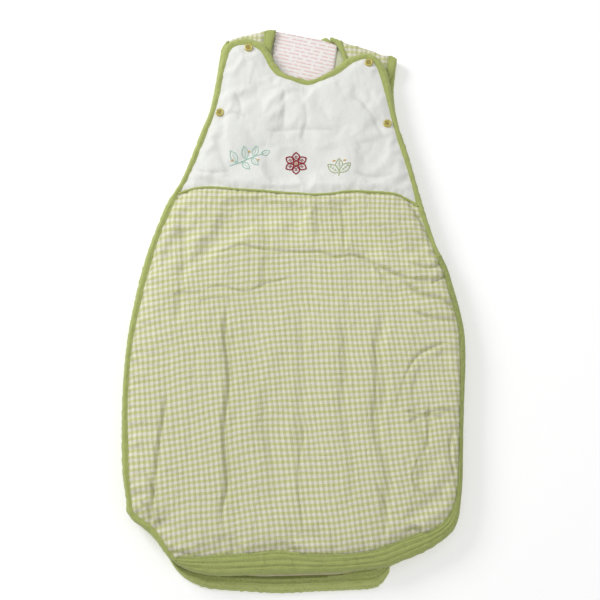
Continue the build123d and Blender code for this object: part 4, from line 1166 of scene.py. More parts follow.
# ------------------------------------------------------------------ piping cord over the yoke seam
pl = resample(pip_line[inside(pip_line, grow(front_edge, 1.0))], 220)
pz = surf_many(pl) - 0.2
pz = np.convolve(np.pad(pz, 4, mode="edge"), np.ones(9) / 9, "valid")
ps = arc(pl)
pl3 = np.column_stack([pl, pz + 0.75])
rr = 1.55 + 0.16 * wob(ps, 31, 7.0)
T = np.gradient(pl, axis=0)
T /= np.linalg.norm(T, axis=1)[:, None]
N2 = np.stack([-T[:, 1], T[:, 0]], 1)
ang = np.linspace(0, 2 * math.pi, 12, endpoint=False)
S = np.zeros((len(pl), 12, 3))
for j, a in enumerate(ang):
    S[:, j, :2] = pl + N2 * (np.cos(a) * (rr + 0.1 * np.sin(ps * 2.1)))[:, None]
    S[:, j, 2] = pl3[:, 2] + np.sin(a) * rr * 0.9
bag = Bag()
V, F = sweep(S)
bag.add(V, F, 0, sweep_uv(S))
for d in (2.6,):
    line = offset_line(pl, d)
    z = surf_many(line) + 0.12
    v, f = stitches(np.column_stack([line, z]), 2.8, 2.0, 0.2)
    bag.add(v, f, 1)
piping = bag.make("yoke_piping_cord", [M["binding"], M["thread_green"]])
fold_blend(piping)
declare(piping, "green_binding", "yoke_piping")


# ------------------------------------------------------------------ folded bindings
def binding(bagobj, outer, inner, z0, z1, n, seed, top_in=None, puck=1.0, side_keep=None, bulge=0.9, stitch=True, lines=(), uv0=0.0):
    """A tape folded over an edge: section from the inner top edge round the outside to the inner bottom edge."""
    O, I = resample(outer, n), resample(inner, n)
    s = arc((O + I) / 2)
    if side_keep is not None:
        p, nn, d = side_keep
        k = (((O + I) / 2 - p) @ nn) > d
        O, I, s = O[k], I[k], s[k]
    n = len(s)
    w = np.linalg.norm(O - I, axis=1)
    D = (O - I) / np.maximum(w, 1e-6)[:, None]
    zt = np.full(n, z1, float) if top_in is None else top_in(I)
    pk = puck
    a = wob(s, seed, 9.0) * 0.28 * pk
    b = wob(s, seed + 1, 14.0) * 0.35 * pk
    c = wob(s, seed + 2, 11.0) * 0.30 * pk
    zm = (z0 + z1) / 2
    # (share of the width, height)
    prof = [(-0.06, zt - 0.9), (-0.02, zt + 0.35 + a), (0.10, zt + 0.55 + a), (0.20, zt + 0.42 + a * 0.6),
            (0.38, zt + bulge + b), (0.60, zt + bulge * 0.9 + b * 0.8 - 0.1), (0.80, z1 - 0.5 + 0.5 * b), (0.93, z1 - 1.9 + 0.3 * c),
            (1.0, z1 - 3.6 + 0 * s), (1.0, z0 + 2.6 + 0 * s), (0.93, z0 + 1.1 + 0 * s), (0.75, z0 + 0.35 + 0 * s), (0.4, z0 + 0.2 + 0 * s), (0.0, z0 + 0.35 + 0 * s)]
    for pos, dep in lines:
        prof = sorted(prof[:8] + [(pos - 0.035, zt + bulge + 0.15), (pos, zt + bulge - dep), (pos + 0.035, zt + bulge + 0.15)], key=lambda q: q[0]) + prof[8:]
    K = len(prof)
    S = np.zeros((n, K, 3))
    for j, (f, z) in enumerate(prof):
        ff = f + (0.03 * c / 0.3 if 0.85 < f <= 1.0 else 0) + (0.02 * a / 0.28 if f < 0.15 else 0)
        S[:, j, :2] = I + D * (w * ff)[:, None]
        S[:, j, 2] = z
    V, F = sweep(S)
    u = sweep_uv(S)
    u[:, 0] += uv0
    bagobj.add(V, F, 0, u)
    if stitch:
        L = np.column_stack([I + D * (w * 0.16)[:, None], (zt + 0.62 + a * 0.8)])
        v, f = stitches(L, 2.9, 2.0, 0.2)
        if len(v):
            bagobj.add(v, f, 1)
    return S


def edge_height(I):
    return surf_many(I) if len(I) else np.zeros(0)


def pad_height(I, fallback=22.9):
    """Upper cloth height at the inner edge of a binding."""
    z = np.array([surf(x, y, fallback) for x, y in I])
    z = np.clip(z, 22.0, 25.6)
    return np.convolve(np.pad(z, 3, mode="edge"), np.ones(7) / 7, "valid")


def nsteps(name, step=2.6):
    return int(arc(C[name])[-1] / step) + 2


B2 = [M["binding"], M["thread_green"]]
# one continuous folded tape from the foot corner up the sewn side, round the armhole, tabs and neck; cut where it changes body
segs = [("CORNER", 2.4), ("SIDE_L", 2.6), ("ARM_L", 2.2), ("TAB_L", 2.0), ("NECK", 2.2), ("TAB_R", 2.0), ("ARM_R", 2.6)]
O_all, I_all, lab_all = [], [], []
for nm_, st in segs:
    n_ = int(arc(C["FO_" + nm_])[-1] / st) + 2
    o_, i_ = resample(C["FO_" + nm_], n_), resample(C["FI_" + nm_], n_)
    last = nm_ == "ARM_R"
    O_all.append(o_ if last else o_[:-1])
    I_all.append(i_ if last else i_[:-1])
    lab_all += [nm_] * (n_ if last else n_ - 1)
O_all, I_all = np.vstack(O_all), np.vstack(I_all)
lab_all = np.array(lab_all)
for _ in range(2):
    I_all[1:-1] = (I_all[:-2] + 2 * I_all[1:-1] + I_all[2:]) / 4
mid_ = (O_all + I_all) / 2
s_all = arc(mid_)


def runs(a, k=15):
    h = k // 2
    return np.convolve(np.pad(np.array(a, float), h, mode="edge"), np.ones(k) / k, "valid")


sewn = np.isin(lab_all, ["CORNER", "SIDE_L"])
z1_all = runs(np.where(sewn, 22.4, np.where(np.isin(lab_all, ["TAB_L", "TAB_R"]), 23.5, 23.4)), 21)
y_start = mid_[:, 1]
z0_all = np.where(sewn | (lab_all == "ARM_L"), 0.5 + 15.7 * sstep(188, 222, y_start), 16.2)
z0_all = np.where(np.isin(lab_all, ["TAB_L", "TAB_R"]), 17.6, z0_all)
z0_all = np.where(lab_all == "ARM_L", np.maximum(z0_all, 15.0), z0_all)
z0_all = runs(z0_all, 9)
zt_all = np.clip(pad_height(I_all), 22, 24.6)
w_all = np.linalg.norm(O_all - I_all, axis=1)
D_all = (O_all - I_all) / np.maximum(w_all, 1e-6)[:, None]
qa, qb, qc, qd = wob(s_all, 41, 8.5) * 0.34, wob(s_all, 42, 14.0) * 0.42, wob(s_all, 43, 10.0) * 0.35, wob(s_all, 45, 31.0) * 0.3
bul = np.where(sewn, 1.3, 0.95)
bul = runs(bul, 9)
prof = [(-0.08, zt_all - 1.0), (-0.035, zt_all + 0.1 + qa * 0.6), (0.02, zt_all + 0.5 + qa), (0.09, zt_all + 0.55 + qa), (0.15, zt_all + 0.32 + qa * 0.5), (0.22, zt_all + 0.62 + qb * 0.5),
        (0.38, zt_all + bul + qb), (0.58, zt_all + bul * 0.9 + qb * 0.8 + qd), (0.78, z1_all - 0.2 + 0.5 * qb + qd), (0.90, z1_all - 1.3 + 0.3 * qc),
        (0.98, z1_all - 2.9 + 0 * s_all), (1.0, z1_all - 4.2 + 0 * s_all), (1.0, z0_all + 2.6), (0.95, z0_all + 1.1), (0.80, z0_all + 0.35), (0.4, z0_all + 0.2), (0.0, z0_all + 0.35)]
S_all = np.zeros((len(s_all), len(prof), 3))
for j, (f, z) in enumerate(prof):
    ff = f + (0.035 * qc / 0.35 if 0.85 < f <= 1.0 else 0) + (0.025 * qa / 0.34 if f < 0.15 else 0)
    S_all[:, j, :2] = I_all + D_all * (w_all * ff)[:, None]
    S_all[:, j, 2] = z
U_all = sweep_uv(S_all).reshape(len(s_all), len(prof), 2)
row = np.column_stack([I_all + D_all * (w_all * 0.15)[:, None], zt_all + 0.5 + qa * 0.5])
side_d = (mid_ - AX0) @ RIGHT
i_axis = int(np.argmax((side_d > 0) & (y_start > 150)))
starts = {nm_: int(np.argmax(lab_all == nm_)) for nm_, _ in segs}
ranges = {"side": (0, i_axis), "arm_l": (i_axis, starts["TAB_L"]), "tab_l": (starts["TAB_L"], starts["NECK"]), "neck": (starts["NECK"], starts["TAB_R"]),
          "tab_r": (starts["TAB_R"], starts["ARM_R"]), "arm_r": (starts["ARM_R"], len(s_all) - 1)}


def ring_piece(key, name, first_cap=False, last_cap=False):
    a, b = ranges[key]
    bag = Bag()
    S = S_all[a:b + 1]
    V, F = sweep(S, caps=False)
    K = S.shape[1]
    if first_cap:
        F.append(tuple(range(K))[::-1])
    if last_cap:
        F.append(tuple((len(S) - 1) * K + j for j in range(K)))
    bag.add(V, F, 0, U_all[a:b + 1].reshape(-1, 2))
    v, f = stitches(row[a:b + 1], 2.9, 2.0, 0.2)
    if len(v):
        bag.add(v, f, 1)
    return bag.make(name, B2)


side_b = ring_piece("side", "side_binding_folded", True, False)
fold_blend(side_b)
declare(side_b, "green_binding", "left_side_binding")
arm_l = ring_piece("arm_l", "front_armhole_binding_left_folded")
fold_blend(arm_l)
declare(arm_l, "green_binding", "front_armhole_binding_left")
arm_r = ring_piece("arm_r", "front_armhole_binding_right_folded", False, True)
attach(arm_r, "front")
declare(arm_r, "green_binding", "front_armhole_binding_right")
neck_f = ring_piece("neck", "front_neck_binding_folded")
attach(neck_f, "front")
declare(neck_f, "green_binding", "front_neck_binding")
for side, key in (("left", "tab_l"), ("right", "tab_r")):
    tb = ring_piece(key, "tab_binding_%s_folded" % side)
    tab_blend(tb)
    declare(tb, "green_binding", "tab_binding_" + side)

# ------------------------------------------------------------------ foot band of the front: a wide folded band with stitched lines
bag = Bag()
O, I = C["FO_ZIP"], C["FI_ZIP"]
O = np.vstack([O, [(-134.2, -325.4)]])
I = np.vstack([I, [(-137.6, -320.6)]])
n = int(arc(O)[-1] / 2.6)
Or, Ir = resample(O, n), resample(I, n)
mid = (Or + Ir) / 2
n = len(mid)
s = arc(mid)
w = np.linalg.norm(Or - Ir, axis=1)
D = (Or - Ir) / w[:, None]
wide = sstep(10, 17, w)
zin = pad_height(Ir)
a1, a2, a3, a4 = wob(s, 71, 12.0) * 0.4, wob(s, 72, 18.0) * 0.5, wob(s, 73, 23.0) * 0.5, wob(s, 74, 15.0) * 0.3
prof = [(-0.05, zin - 0.8), (-0.015, zin + 0.35), (0.05, zin + 0.6 + a4), (0.10, zin + 0.25), (0.13, zin + 0.75 + a1 * 0.5), (0.24, zin + 1.15 + a1),
        (0.33, zin + 0.9 + a1 * 0.6), (0.365, zin + 0.9 - 0.9 * wide), (0.40, zin + 0.85 + a2 * 0.5), (0.50, zin + 1.0 + a2),
        (0.60, zin + 0.55 + a2 * 0.6), (0.635, zin + 0.45 - 1.0 * wide), (0.67, zin + 0.2 + a3 * 0.5), (0.78, zin - 0.4 + a3),
        (0.88, zin - 1.7 + a3 * 0.5), (0.95, zin - 3.2), (1.0, 0 * s + 18.8), (0.985, 0 * s + 17.2), (0.94, 0 * s + 16.3), (0.6, 0 * s + 16.2), (0.2, 0 * s + 16.3), (0.0, 0 * s + 16.5)]
S = np.zeros((n, len(prof), 3))
for j, (f, z) in enumerate(prof):
    ff = f + (0.012 * a2 / 0.5 if 0.9 < f else 0)
    S[:, j, :2] = Ir + D * (w * ff)[:, None]
    S[:, j, 2] = z
V, F = sweep(S)
bag.add(V, F, 0, sweep_uv(S))
for f, dzz in ((0.075, 0.75), (0.365, 0.35), (0.635, -0.35)):
    Lz = zin + dzz + (0.0 if f < 0.1 else -0.25)
    v, g = stitches(np.column_stack([Ir + D * (w * f)[:, None], Lz]), 3.0, 2.1, 0.2)
    bag.add(v, g, 1)
band_f = bag.make("foot_band_front_folded", [M["band"], M["thread_green"]])
fold_blend(band_f)
declare(band_f, "green_band", "zip_band_front")

# ------------------------------------------------------------------ foot band of the back
bag = Bag()
O, I = C["BO_ZIP"], C["BI_ZIP"]
O = np.vstack([O, [(-138.6, -328.6), (-142.6, -322.6), (-146.0, -317.0)]])
I = np.vstack([I, [(-136.4, -317.6), (-139.6, -313.6)]])
n = int(arc(O)[-1] / 2.6)
Or, Ir = resample(O, n), resample(I, n)
# pair the two edges across the band rather than by length
Ir = np.array([I[np.argmin(np.linalg.norm(I - p, axis=1))] for p in Or])
for _ in range(4):
    Ir[1:-1] = (Ir[:-2] + Ir[1:-1] + Ir[2:]) / 3
s = arc(Or)
w = np.linalg.norm(Or - Ir, axis=1)
D = (Or - Ir) / np.maximum(w, 1e-6)[:, None]
b1, b2, b3 = wob(s, 81, 16.0) * 0.35, wob(s, 82, 24.0) * 0.45, wob(s, 83, 11.0) * 0.3
foot = sstep(-316, -330, Or[:, 1]) * sstep(108, 84, Or[:, 0])
prof = [(0.01, 0 * s + 5.6), (0.06, 0 * s + 6.3), (0.14, 6.3 + b1 - 3.0 * foot), (0.30, 6.25 + b1 - 4.0 * foot), (0.42, 6.2 + b2 * 0.5 - 3.6 * foot), (0.50, 6.0 - 1.9 * foot + b3),
        (0.55, 5.9 - 2.7 * foot), (0.60, 5.9 + b2 * 0.5 - 1.6 * foot + b3), (0.655, 5.9 - 2.6 * foot), (0.69, 6.1 + b2 * 0.4 - 0.4 * foot), (0.74, 6.2 + b2 * 0.5), (0.84, 5.6 + b2 * 0.5), (0.90, 4.8 + b3),
        (0.97, 3.4 + b3 * 0.5), (1.0, 0 * s + 2.1), (0.985, 0 * s + 0.9), (0.93, 0 * s + 0.25), (0.5, 0 * s + 0.1), (0.1, 0 * s + 0.15), (0.01, 0 * s + 0.9)]
S = np.zeros((n, len(prof), 3))
for j, (f, z) in enumerate(prof):
    ff = f + (0.012 * b3 / 0.3 if f > 0.85 and f < 1.01 else 0)
    S[:, j, :2] = Ir + D * (w * ff)[:, None]
    S[:, j, 2] = np.clip(z, 0.05, 6.5)
V, F = sweep(S)
K = len(prof)
# painted shade: recess rows 2 to 5 take the darker band copy; each row stops at its own x, so the dark patch tapers
ends = {2: 84, 3: 72, 4: 58, 5: 40}
shade = [2 if (q % K) in ends and foot[min(n - 1, q // K)] > 0.5 and Or[min(n - 1, q // K), 0] < ends[q % K] else 0 for q in range((n - 1) * K)] + [0, 0]
bag.add(V, F, shade, sweep_uv(S))
for f in (0.77, 0.92):
    zl = np.interp(f, [0.77, 0.92], [6.2, 4.6])
    v, g = stitches(np.column_stack([Ir + D * (w * f)[:, None], np.full(n, zl)]), 3.0, 2.1, 0.2)
    bag.add(v, g, 1)
band_b = bag.make("foot_band_back_folded", [M["band_back"], M["thread_green"], M["band_deep"]], "back")
declare(band_b, "green_band_shade", "zip_band_back")

# ------------------------------------------------------------------ back panel
back_poly = cat(C["FI_CORNER"], C["FI_SIDE_L"], C["BI_ARM_L"], C["BI_FOLD_L"], C["BI_NECK"], C["BI_FOLD_R"], C["BI_ARM_R"], C["BI_ZIP"])
P_BACK = even(back_poly, 6.0)
bp_pts, bp_tri = tri_region(P_BACK, 7.5, (), 0.16, 5)
db = np.where(inside(bp_pts, back_poly), dist_to(bp_pts, back_poly, True), 0)
zt = 6.8 + 1.75 * (1 - np.exp(-db / 14)) + 0.3 * vnoise(bp_pts[:, 0], bp_pts[:, 1], 40, 2) * np.minimum(1, db / 20)
zb = 1.6 * np.exp(-db / 7) + 0.25 * np.abs(vnoise(bp_pts[:, 0], bp_pts[:, 1], 34, 7)) + 0.05
V, F, kB = closed_pad(bp_pts, bp_tri, np.minimum(zt, 8.9), zb, 0.4)
gu = check_uv(V[:, 0], V[:, 1])
back_pad = put("back_panel_padded", V, F, [M["lining"], M["gingham"]], np.where(kB == 0, 0, 1), None, None)
orient(back_pad)
bpy.context.view_layer.update()
subdivide(back_pad)
bm_ = back_pad.data
cb = np.empty(len(bm_.vertices) * 3)
bm_.vertices.foreach_get("co", cb)
cb = cb.reshape(-1, 3) / MM
lvb = np.empty(len(bm_.loops), np.int32)
bm_.loops.foreach_get("vertex_index", lvb)
mib = np.empty(len(bm_.polygons), np.int32)
bm_.polygons.foreach_get("material_index", mib)
ltb = np.empty(len(bm_.polygons), np.int32)
bm_.polygons.foreach_get("loop_total", ltb)
lab = np.repeat(mib, ltb)
uvb = np.where((lab == 1)[:, None], check_uv(cb[:, 0], cb[:, 1])[lvb], cb[lvb][:, :2])
(bm_.uv_layers.get("UVMap") or bm_.uv_layers.new(name="UVMap")).data.foreach_set("uv", uvb.astype(np.float32).ravel())
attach(back_pad, "back")
declare(back_pad, "gingham_cotton", "back_outer_panel", "back_wadding", "back_lining", fill=0.35)

for name, o, i, sd, nn in (("back_neck_binding", "BO_NECK", "BI_NECK", 91, 48), ("back_armhole_binding_left", "BO_ARM_L", "BI_ARM_L", 94, 44),
                           ("back_armhole_binding_right", "BO_ARM_R", "BI_ARM_R", 97, 110)):
    bag = Bag()
    Oc, Ic = C[o], C[i]
    if name == "back_neck_binding":
        Oc, Ic = Oc[2:-2], Ic
    if name == "back_armhole_binding_left":
        Oc, Ic = cat(C["FO_SIDE_L"][-9:], Oc), cat(C["FI_SIDE_L"][-9:], Ic)
    if name == "back_neck_binding":
        Oc = Oc + np.stack([0 * Oc[:, 0], 3.2 * sstep(20, 32, Oc[:, 0]) * sstep(60, 40, Oc[:, 0])], 1)
    binding(bag, Oc, Ic, 0.4, 7.6, nn, sd, lambda I: np.full(len(I), 7.2), puck=0.6, bulge=0.9)
    ob = bag.make(name + "_folded", B2, "back")
    declare(ob, "green_binding", name)


# ------------------------------------------------------------------ shoulder straps, folded forward
def clip_poly(poly, p, n, d=0.0):
    p, n = np.array(p, float), unit(n)
    s = [(np.array(q) - p) @ n - d for q in poly]
    out = []
    for i in range(len(poly)):
        a, b = np.array(poly[i]), np.array(poly[(i + 1) % len(poly)])
        sa, sb = s[i], s[(i + 1) % len(poly)]
        if sa >= 0:
            out.append(a)
        if (sa >= 0) != (sb >= 0):
            out.append(a + (b - a) * sa / (sa - sb))
    return dedupe(np.array(out), 0.2)


def line_side(line):
    a, b = np.array(line[0], float), np.array(line[1], float)
    n = np.array([-(b - a)[1], (b - a)[0]])
    return a, (n if n[0] > 0 else -n)


for side in ("left", "right"):
    fo = C["BO_FOLD_" + side[0].upper()]
    fi = C["BI_FOLD_" + side[0].upper()]
    outline = cat(fo, smooth(STRAP_L if side == "left" else STRAP_R))
    outline = outline[:-1] if np.linalg.norm(outline[0] - outline[-1]) < 1 else outline
    if side == "left":
        (pa, na), (pb, nb) = line_side(STRAP_L_BIND), line_side(STRAP_L_BIND2)
        inner_side, outer_side = (pa, na), (pb, -nb)
    else:
        (pa, na), (pb, nb) = line_side(STRAP_R_BIND), line_side(STRAP_R_BIND2)
        inner_side, outer_side = (pa, -na), (pb, nb)
    body_poly = clip_poly(clip_poly(outline, inner_side[0], -inner_side[1], -0.2), outer_side[0], -outer_side[1], -0.2)
    rest_poly = outline

    def heights(P, thick_edge=1.0, add=0.0):
        df = dist_to(P, fo)
        r = 5.2
        x = np.clip(df / r, 0, 1)
        top = 8.4 + 6.9 * np.maximum(0, 1 - (1 - x) ** 3) ** (1 / 3) + add
        bot = np.where(df < 4.6, 7.9 - 7.3 * np.sqrt(np.maximum(0, 1 - (1 - np.clip(df / 4.6, 0, 1)) ** 2)), 0.6)
        bot = np.where(df > 4.6, 0.6 + 8.9 * sstep(4.6, 7.0, df), bot)
        return top, np.minimum(bot, top - 1.0)

    def pad_obj(poly, name, mats, add, gathers, uvf, sp=4.2):
        E = even(poly, 3.4)
        p2, t2 = tri_region(E, sp, (), 0.15, 6)
        top, bot = heights(p2, add=add)
        d2 = np.where(inside(p2, E), dist_to(p2, E, True), 0)
        top = top - 1.1 * np.exp(-d2 / 2.0) * sstep(3, 9, dist_to(p2, fo)) + gathers * vnoise(p2[:, 0], p2[:, 1], 15, 12) * np.minimum(1, d2 / 4)
        V, F, kk = closed_pad(p2, t2, top, np.minimum(bot, top - 0.8), 0.35)
        bgo = Bag()
        bgo.add(V, F, 0, uvf(V))
        return bgo

    g = pad_obj(body_poly, "", None, 0.0, 0.35, lambda V: check_uv(V[:, 0], V[:, 1]))
    so = g.make("shoulder_strap_%s_padded" % side, [M["gingham"]], "back")
    orient(so)
    declare(so, "gingham_cotton", "strap_" + side, fill=0.4)
    bb = Bag()
    for (pp, nn2) in (inner_side, outer_side):
        poly = clip_poly(outline, pp, nn2, 0.1)
        if len(poly) < 4:
            continue
        g = pad_obj(poly, "", None, 0.45, 0.2, lambda V: V[:, :2], 2.6)
        V, F = g.V[0], g.F
        bb.add(V, F, 0, V[:, :2])
        L = np.array([p for p in resample(np.array([STRAP_L_BIND, STRAP_L_BIND2, STRAP_R_BIND, STRAP_R_BIND2][
            (0 if side == "left" else 2) + (0 if pp is inner_side[0] else 1)], float), 60)])
        L = L + unit(nn2) * 1.0
        L = L[inside(L, poly)]
        if len(L) > 5:
            th, _ = heights(L, add=0.45)
            v, f = stitches(np.column_stack([L, th + 0.1]), 2.9, 2.0, 0.2)
            if len(v):
                bb.add(v, f, 1)
    sb = bb.make("strap_binding_%s_folded" % side, B2, "back")
    orient(sb)
    declare(sb, "green_binding", "strap_binding_" + side)

# ------------------------------------------------------------------ zip: tapes, coils, slider, puller
edge = C["FO_ZIP"]
cad_edge = smooth(FO_ZIP, 9.0)
zl = offset_line(cad_edge, 5.0)
S_LEFT, S_RIGHT = np.array(FO_ZIP[-5], float), np.array(FO_ZIP[-10], float)
SDIR = unit(S_RIGHT - S_LEFT)
OUT = np.array([SDIR[1], -SDIR[0]])
P_LEFT, P_RIGHT = S_LEFT - OUT * 5.0, S_RIGHT - OUT * 5.0
keep, done = [], False
for q in zl:
    s_ = (q - P_LEFT) @ SDIR
    if q[1] < P_RIGHT[1] + 30 and -2 < s_ < np.linalg.norm(P_RIGHT - P_LEFT) + 2:
        if not done:
            keep += [P_RIGHT, (P_RIGHT + P_LEFT) / 2, P_LEFT]
            done = True
        continue
    keep.append(q)
zl = np.array(keep)[1:-2]
zd = resample(zl, int(arc(zl)[-1] / 2.4))


def strip(line, d0, d1, z0, z1, th, ripple=0.0, seed=1):
    """A thin tape between two offsets of a line."""
    n = len(line)
    s = arc(line)
    A, B = offset_line(line, d0), offset_line(line, d1)
    r = ripple * wob(s, seed, 9.0)
    S = np.zeros((n, 6, 3))
    for j, (P, z) in enumerate(((A, z0 + th), ((A + B) / 2, (z0 + z1) / 2 + th), (B, z1 + th), (B, z1), ((A + B) / 2, (z0 + z1) / 2), (A, z0))):
        S[:, j, :2] = P
        S[:, j, 2] = z + r * (0.3 if j in (0, 5) else 1)
    V, F = sweep(S)
    return V, F, sweep_uv(S)


def coil(line, z0, z1, seed):
    """A zip coil: close loops of wire over a cord."""
    s = arc(line)
    L = s[-1]
    n = int(L / 1.5)
    V, F, m = [], [], 0
    T = np.gradient(line, axis=0)
    T /= np.linalg.norm(T, axis=1)[:, None]
    zc, h = (z0 + z1) / 2, (z1 - z0) / 2
    for i in range(n):
        t = (i + 0.5) * 1.5
        c = np.array([np.interp(t, s, line[:, k]) for k in (0, 1)])
        d = unit([np.interp(t, s, T[:, k]) for k in (0, 1)])
        nn = np.array([d[1], -d[0]])
        ang = np.linspace(0, 2 * math.pi, 7, endpoint=False)
        ringA = np.array([[*(c - d * 0.45 + nn * 0.88 * math.cos(a)), zc + h * 0.9 * math.sin(a)] for a in ang])
        ringB = np.array([[*(c + nn * 0.9 * math.cos(a)), zc + h * math.sin(a)] for a in ang])
        ringC = np.array([[*(c + d * 0.45 + nn * 0.88 * math.cos(a)), zc + h * 0.9 * math.sin(a)] for a in ang])
        v, f = sweep(np.array([ringA, ringB, ringC]))
        V.append(v)
        F += [tuple(x + m for x in q) for q in f]
        m += len(v)
    # the cord inside
    ang = np.linspace(0, 2 * math.pi, 6, endpoint=False)
    N3 = np.stack([T[:, 1], -T[:, 0]], 1)
    S = np.zeros((len(line), 6, 3))
    for j, a in enumerate(ang):
        S[:, j, :2] = line + N3 * 0.6 * math.cos(a)
        S[:, j, 2] = zc + h * 0.62 * math.sin(a)
    v, f = sweep(S)
    V.append(v)
    F += [tuple(x + m for x in q) for q in f]
    return np.vstack(V), F


for name, z, body, slotn in (("zip_coil_front", (12.0, 13.8), "front", "zip_coil"), ("zip_coil_back", (9.2, 11.0), "back", "zip_coil")):
    V, F = coil(zd, z[0], z[1], 1)
    ob = put(name + "_wound", V, F, [M["coil"]], None, V[:, :2], body)
    declare(ob, slotn, name)

bag = Bag()
V, F, U = strip(zd, -0.3, 6.0, 15.4, 15.4, 0.55, 0.03, 3)
bag.add(V, F, 0, U)
V, F, U = strip(zd, -0.3, 0.3, 13.8, 13.8, 1.7, 0.0, 3)
bag.add(V, F, 0, U)
v, f = stitches(np.column_stack([offset_line(zd, 4.6), np.full(len(zd), 15.3)]), 3.0, 2.1, 0.18)
bag.add(v, f, 1)
# the tape shows as a pale edge under the middle of the foot band
fe = resample(C["FO_ZIP"], 300)
kk = (fe[:, 1] < -325) & (fe[:, 0] > -60) & (fe[:, 0] < 75)
show = fe[kk]
ss = arc(show)
outw = -1.6 * sstep(0, 30, ss) * sstep(ss[-1], ss[-1] - 30, ss) - 0.05
nrm_ = offset_line(show, 1.0) - show
S = np.zeros((len(show), 4, 3))
for j, (d, z) in enumerate(((4.0, 16.15), (0.0, 16.3), (0.0, 15.6), (4.0, 15.5))):
    q = show + nrm_ * (outw if j in (1, 2) else np.full(len(ss), d))[:, None]
    S[:, j, :2] = q
    S[:, j, 2] = z + 0.2 * wob(ss, 19, 13.0) * (1 if j in (1, 2) else 0)
V, F = sweep(S)
bag.add(V, F, 0, sweep_uv(S))
tf = bag.make("zip_tape_front_woven", [M["tape"], M["thread_white"]], "front")
declare(tf, "zip_tape", "zip_tape_front")
bag = Bag()
V, F, U = strip(zd, -0.3, 4.9, 6.55, 6.55, 0.5, 0.02, 4)
bag.add(V, F, 0, U)
V, F, U = strip(zd, -0.3, 0.3, 7.0, 7.0, 2.1, 0.0, 4)
bag.add(V, F, 0, U)
tbk = bag.make("zip_tape_back_woven", [M["tape"]], "back")
declare(tbk, "zip_tape", "zip_tape_back")
for nm in ("zip_slider", "zip_puller", "zip_end_stop", "zip_top_stop_front", "zip_top_stop_back"):
    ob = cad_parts[nm]
    if not ob.material_slots:
        ob.data.materials.append(M["metal"])
    for sl in ob.material_slots:
        sl.link = "OBJECT"
        sl.material = M["metal"]


# ------------------------------------------------------------------ press fasteners
def lathe(cx, cy, prof, sides=40):
    prof = np.array(prof, float)
    a = np.linspace(0, 2 * math.pi, sides, endpoint=False)
    V, F = [], []
    for r, z in prof:
        for t in a:
            V.append((cx + r * math.cos(t), cy + r * math.sin(t), z))
    for i in range(len(prof) - 1):
        for j in range(sides):
            p, q = i * sides + j, i * sides + (j + 1) % sides
            F.append((p, q, q + sides, p + sides))
    F.append(tuple(range(sides))[::-1])
    F.append(tuple((len(prof) - 1) * sides + j for j in range(sides)))
    return np.array(V), F


M["resin"] = make_plain("popper_resin", srgb(205, 192, 108), srgb(184, 170, 84), 0.22, scale=60, bump=0.04, coat=0.6)
# painted shade: a darker copy of the popper resin for the recessed centre of the cap
M["resin_dark"] = make_plain("popper_resin_dark", srgb(162, 148, 72), srgb(140, 128, 56), 0.3, scale=60, bump=0.04, coat=0.3)
for nm, c, under, body, base_z in (("shoulder_cap_left", SH_L, 18.0, "tab_left", 15.6), ("shoulder_cap_right", SH_R, 18.0, "tab_right", 15.6),
                                   ("underarm_cap_left", UA_L, 16.0, "front", 9.0), ("underarm_cap_right", UA_R, 16.0, "front", 9.0)):
    cx, cy_ = c
    bag = Bag()
    V, F = lathe(cx, cy_, [(0.3, 24.7), (5.2, 24.7), (5.5, 25.0), (5.5, 25.7), (5.25, 26.5), (4.7, 27.0), (4.1, 27.15), (3.5, 27.0), (3.0, 26.55), (2.75, 26.1), (2.5, 25.95), (0.3, 25.9)])
    bag.add(V, F, 0)
    # the recessed centre takes the darker resin copy, painted shade
    V, F = lathe(cx, cy_, [(0.1, 25.8), (2.3, 25.8), (2.35, 26.0), (2.1, 26.12), (0.9, 26.12), (0.75, 26.0), (0.1, 25.98)], 28)
    bag.add(V, F, 1)
    for k in range(5):
        a = k * 2 * math.pi / 5 + 0.3
        V, F = lathe(cx + 1.7 * math.cos(a), cy_ + 1.7 * math.sin(a), [(0.05, 25.9), (0.5, 25.95), (0.55, 26.25), (0.4, 26.55), (0.08, 26.62)], 12)
        bag.add(V, F, 0)
    # socket on the underside
    V, F = lathe(cx, cy_, [(2.5, under - 0.1), (4.4, under - 0.1), (4.5, under - 0.4), (4.4, under - 0.95), (3.9, under - 1.2), (3.2, under - 1.15), (2.7, under - 0.9), (2.5, under - 0.5)])
    F = F[:-2] + [((len(V) // 40 - 1) * 40 + j, (len(V) // 40 - 1) * 40 + (j + 1) % 40, (j + 1) % 40, j) for j in range(40)]
    bag.add(V, F, 0)
    ob = bag.make(nm + "_pressed", [M["resin"], M["resin_dark"]], body)
    orient(ob)
    declare(ob, "popper_resin", nm)
    st = nm.replace("cap", "stud")
    bag = Bag()
    top = under - 0.45
    V, F = lathe(cx, cy_, [(0.2, base_z), (3.9, base_z), (4.2, base_z + 0.2), (4.15, base_z + 0.6), (3.7, base_z + 0.8), (2.2, base_z + 0.8), (1.75, base_z + 0.95), (1.5, base_z + 1.2 if top - base_z < 3 else base_z + 3),
                           (1.62, top - 0.45), (1.7, top - 0.3), (1.45, top - 0.08), (0.3, top)], 32)
    bag.add(V, F, 0)
    ob = bag.make(st + "_pressed", [M["resin"]], "back")
    orient(ob)
    declare(ob, "popper_resin", st)

# ------------------------------------------------------------------ embroidery: threads laid on the yoke
def petal_line(cx, cy, length, width, angle, n=28):
    a = math.radians(angle)
    ux, uy = math.cos(a), math.sin(a)
    t = np.concatenate([np.linspace(0, 1, n), np.linspace(1, 0, n)[1:]])
    sg = np.concatenate([np.ones(n), -np.ones(n - 1)])
    l, w_ = t * length, sg * width / 2 * np.sin(np.pi * t)
    return np.stack([cx + l * ux - w_ * uy, cy + l * uy + w_ * ux], 1)


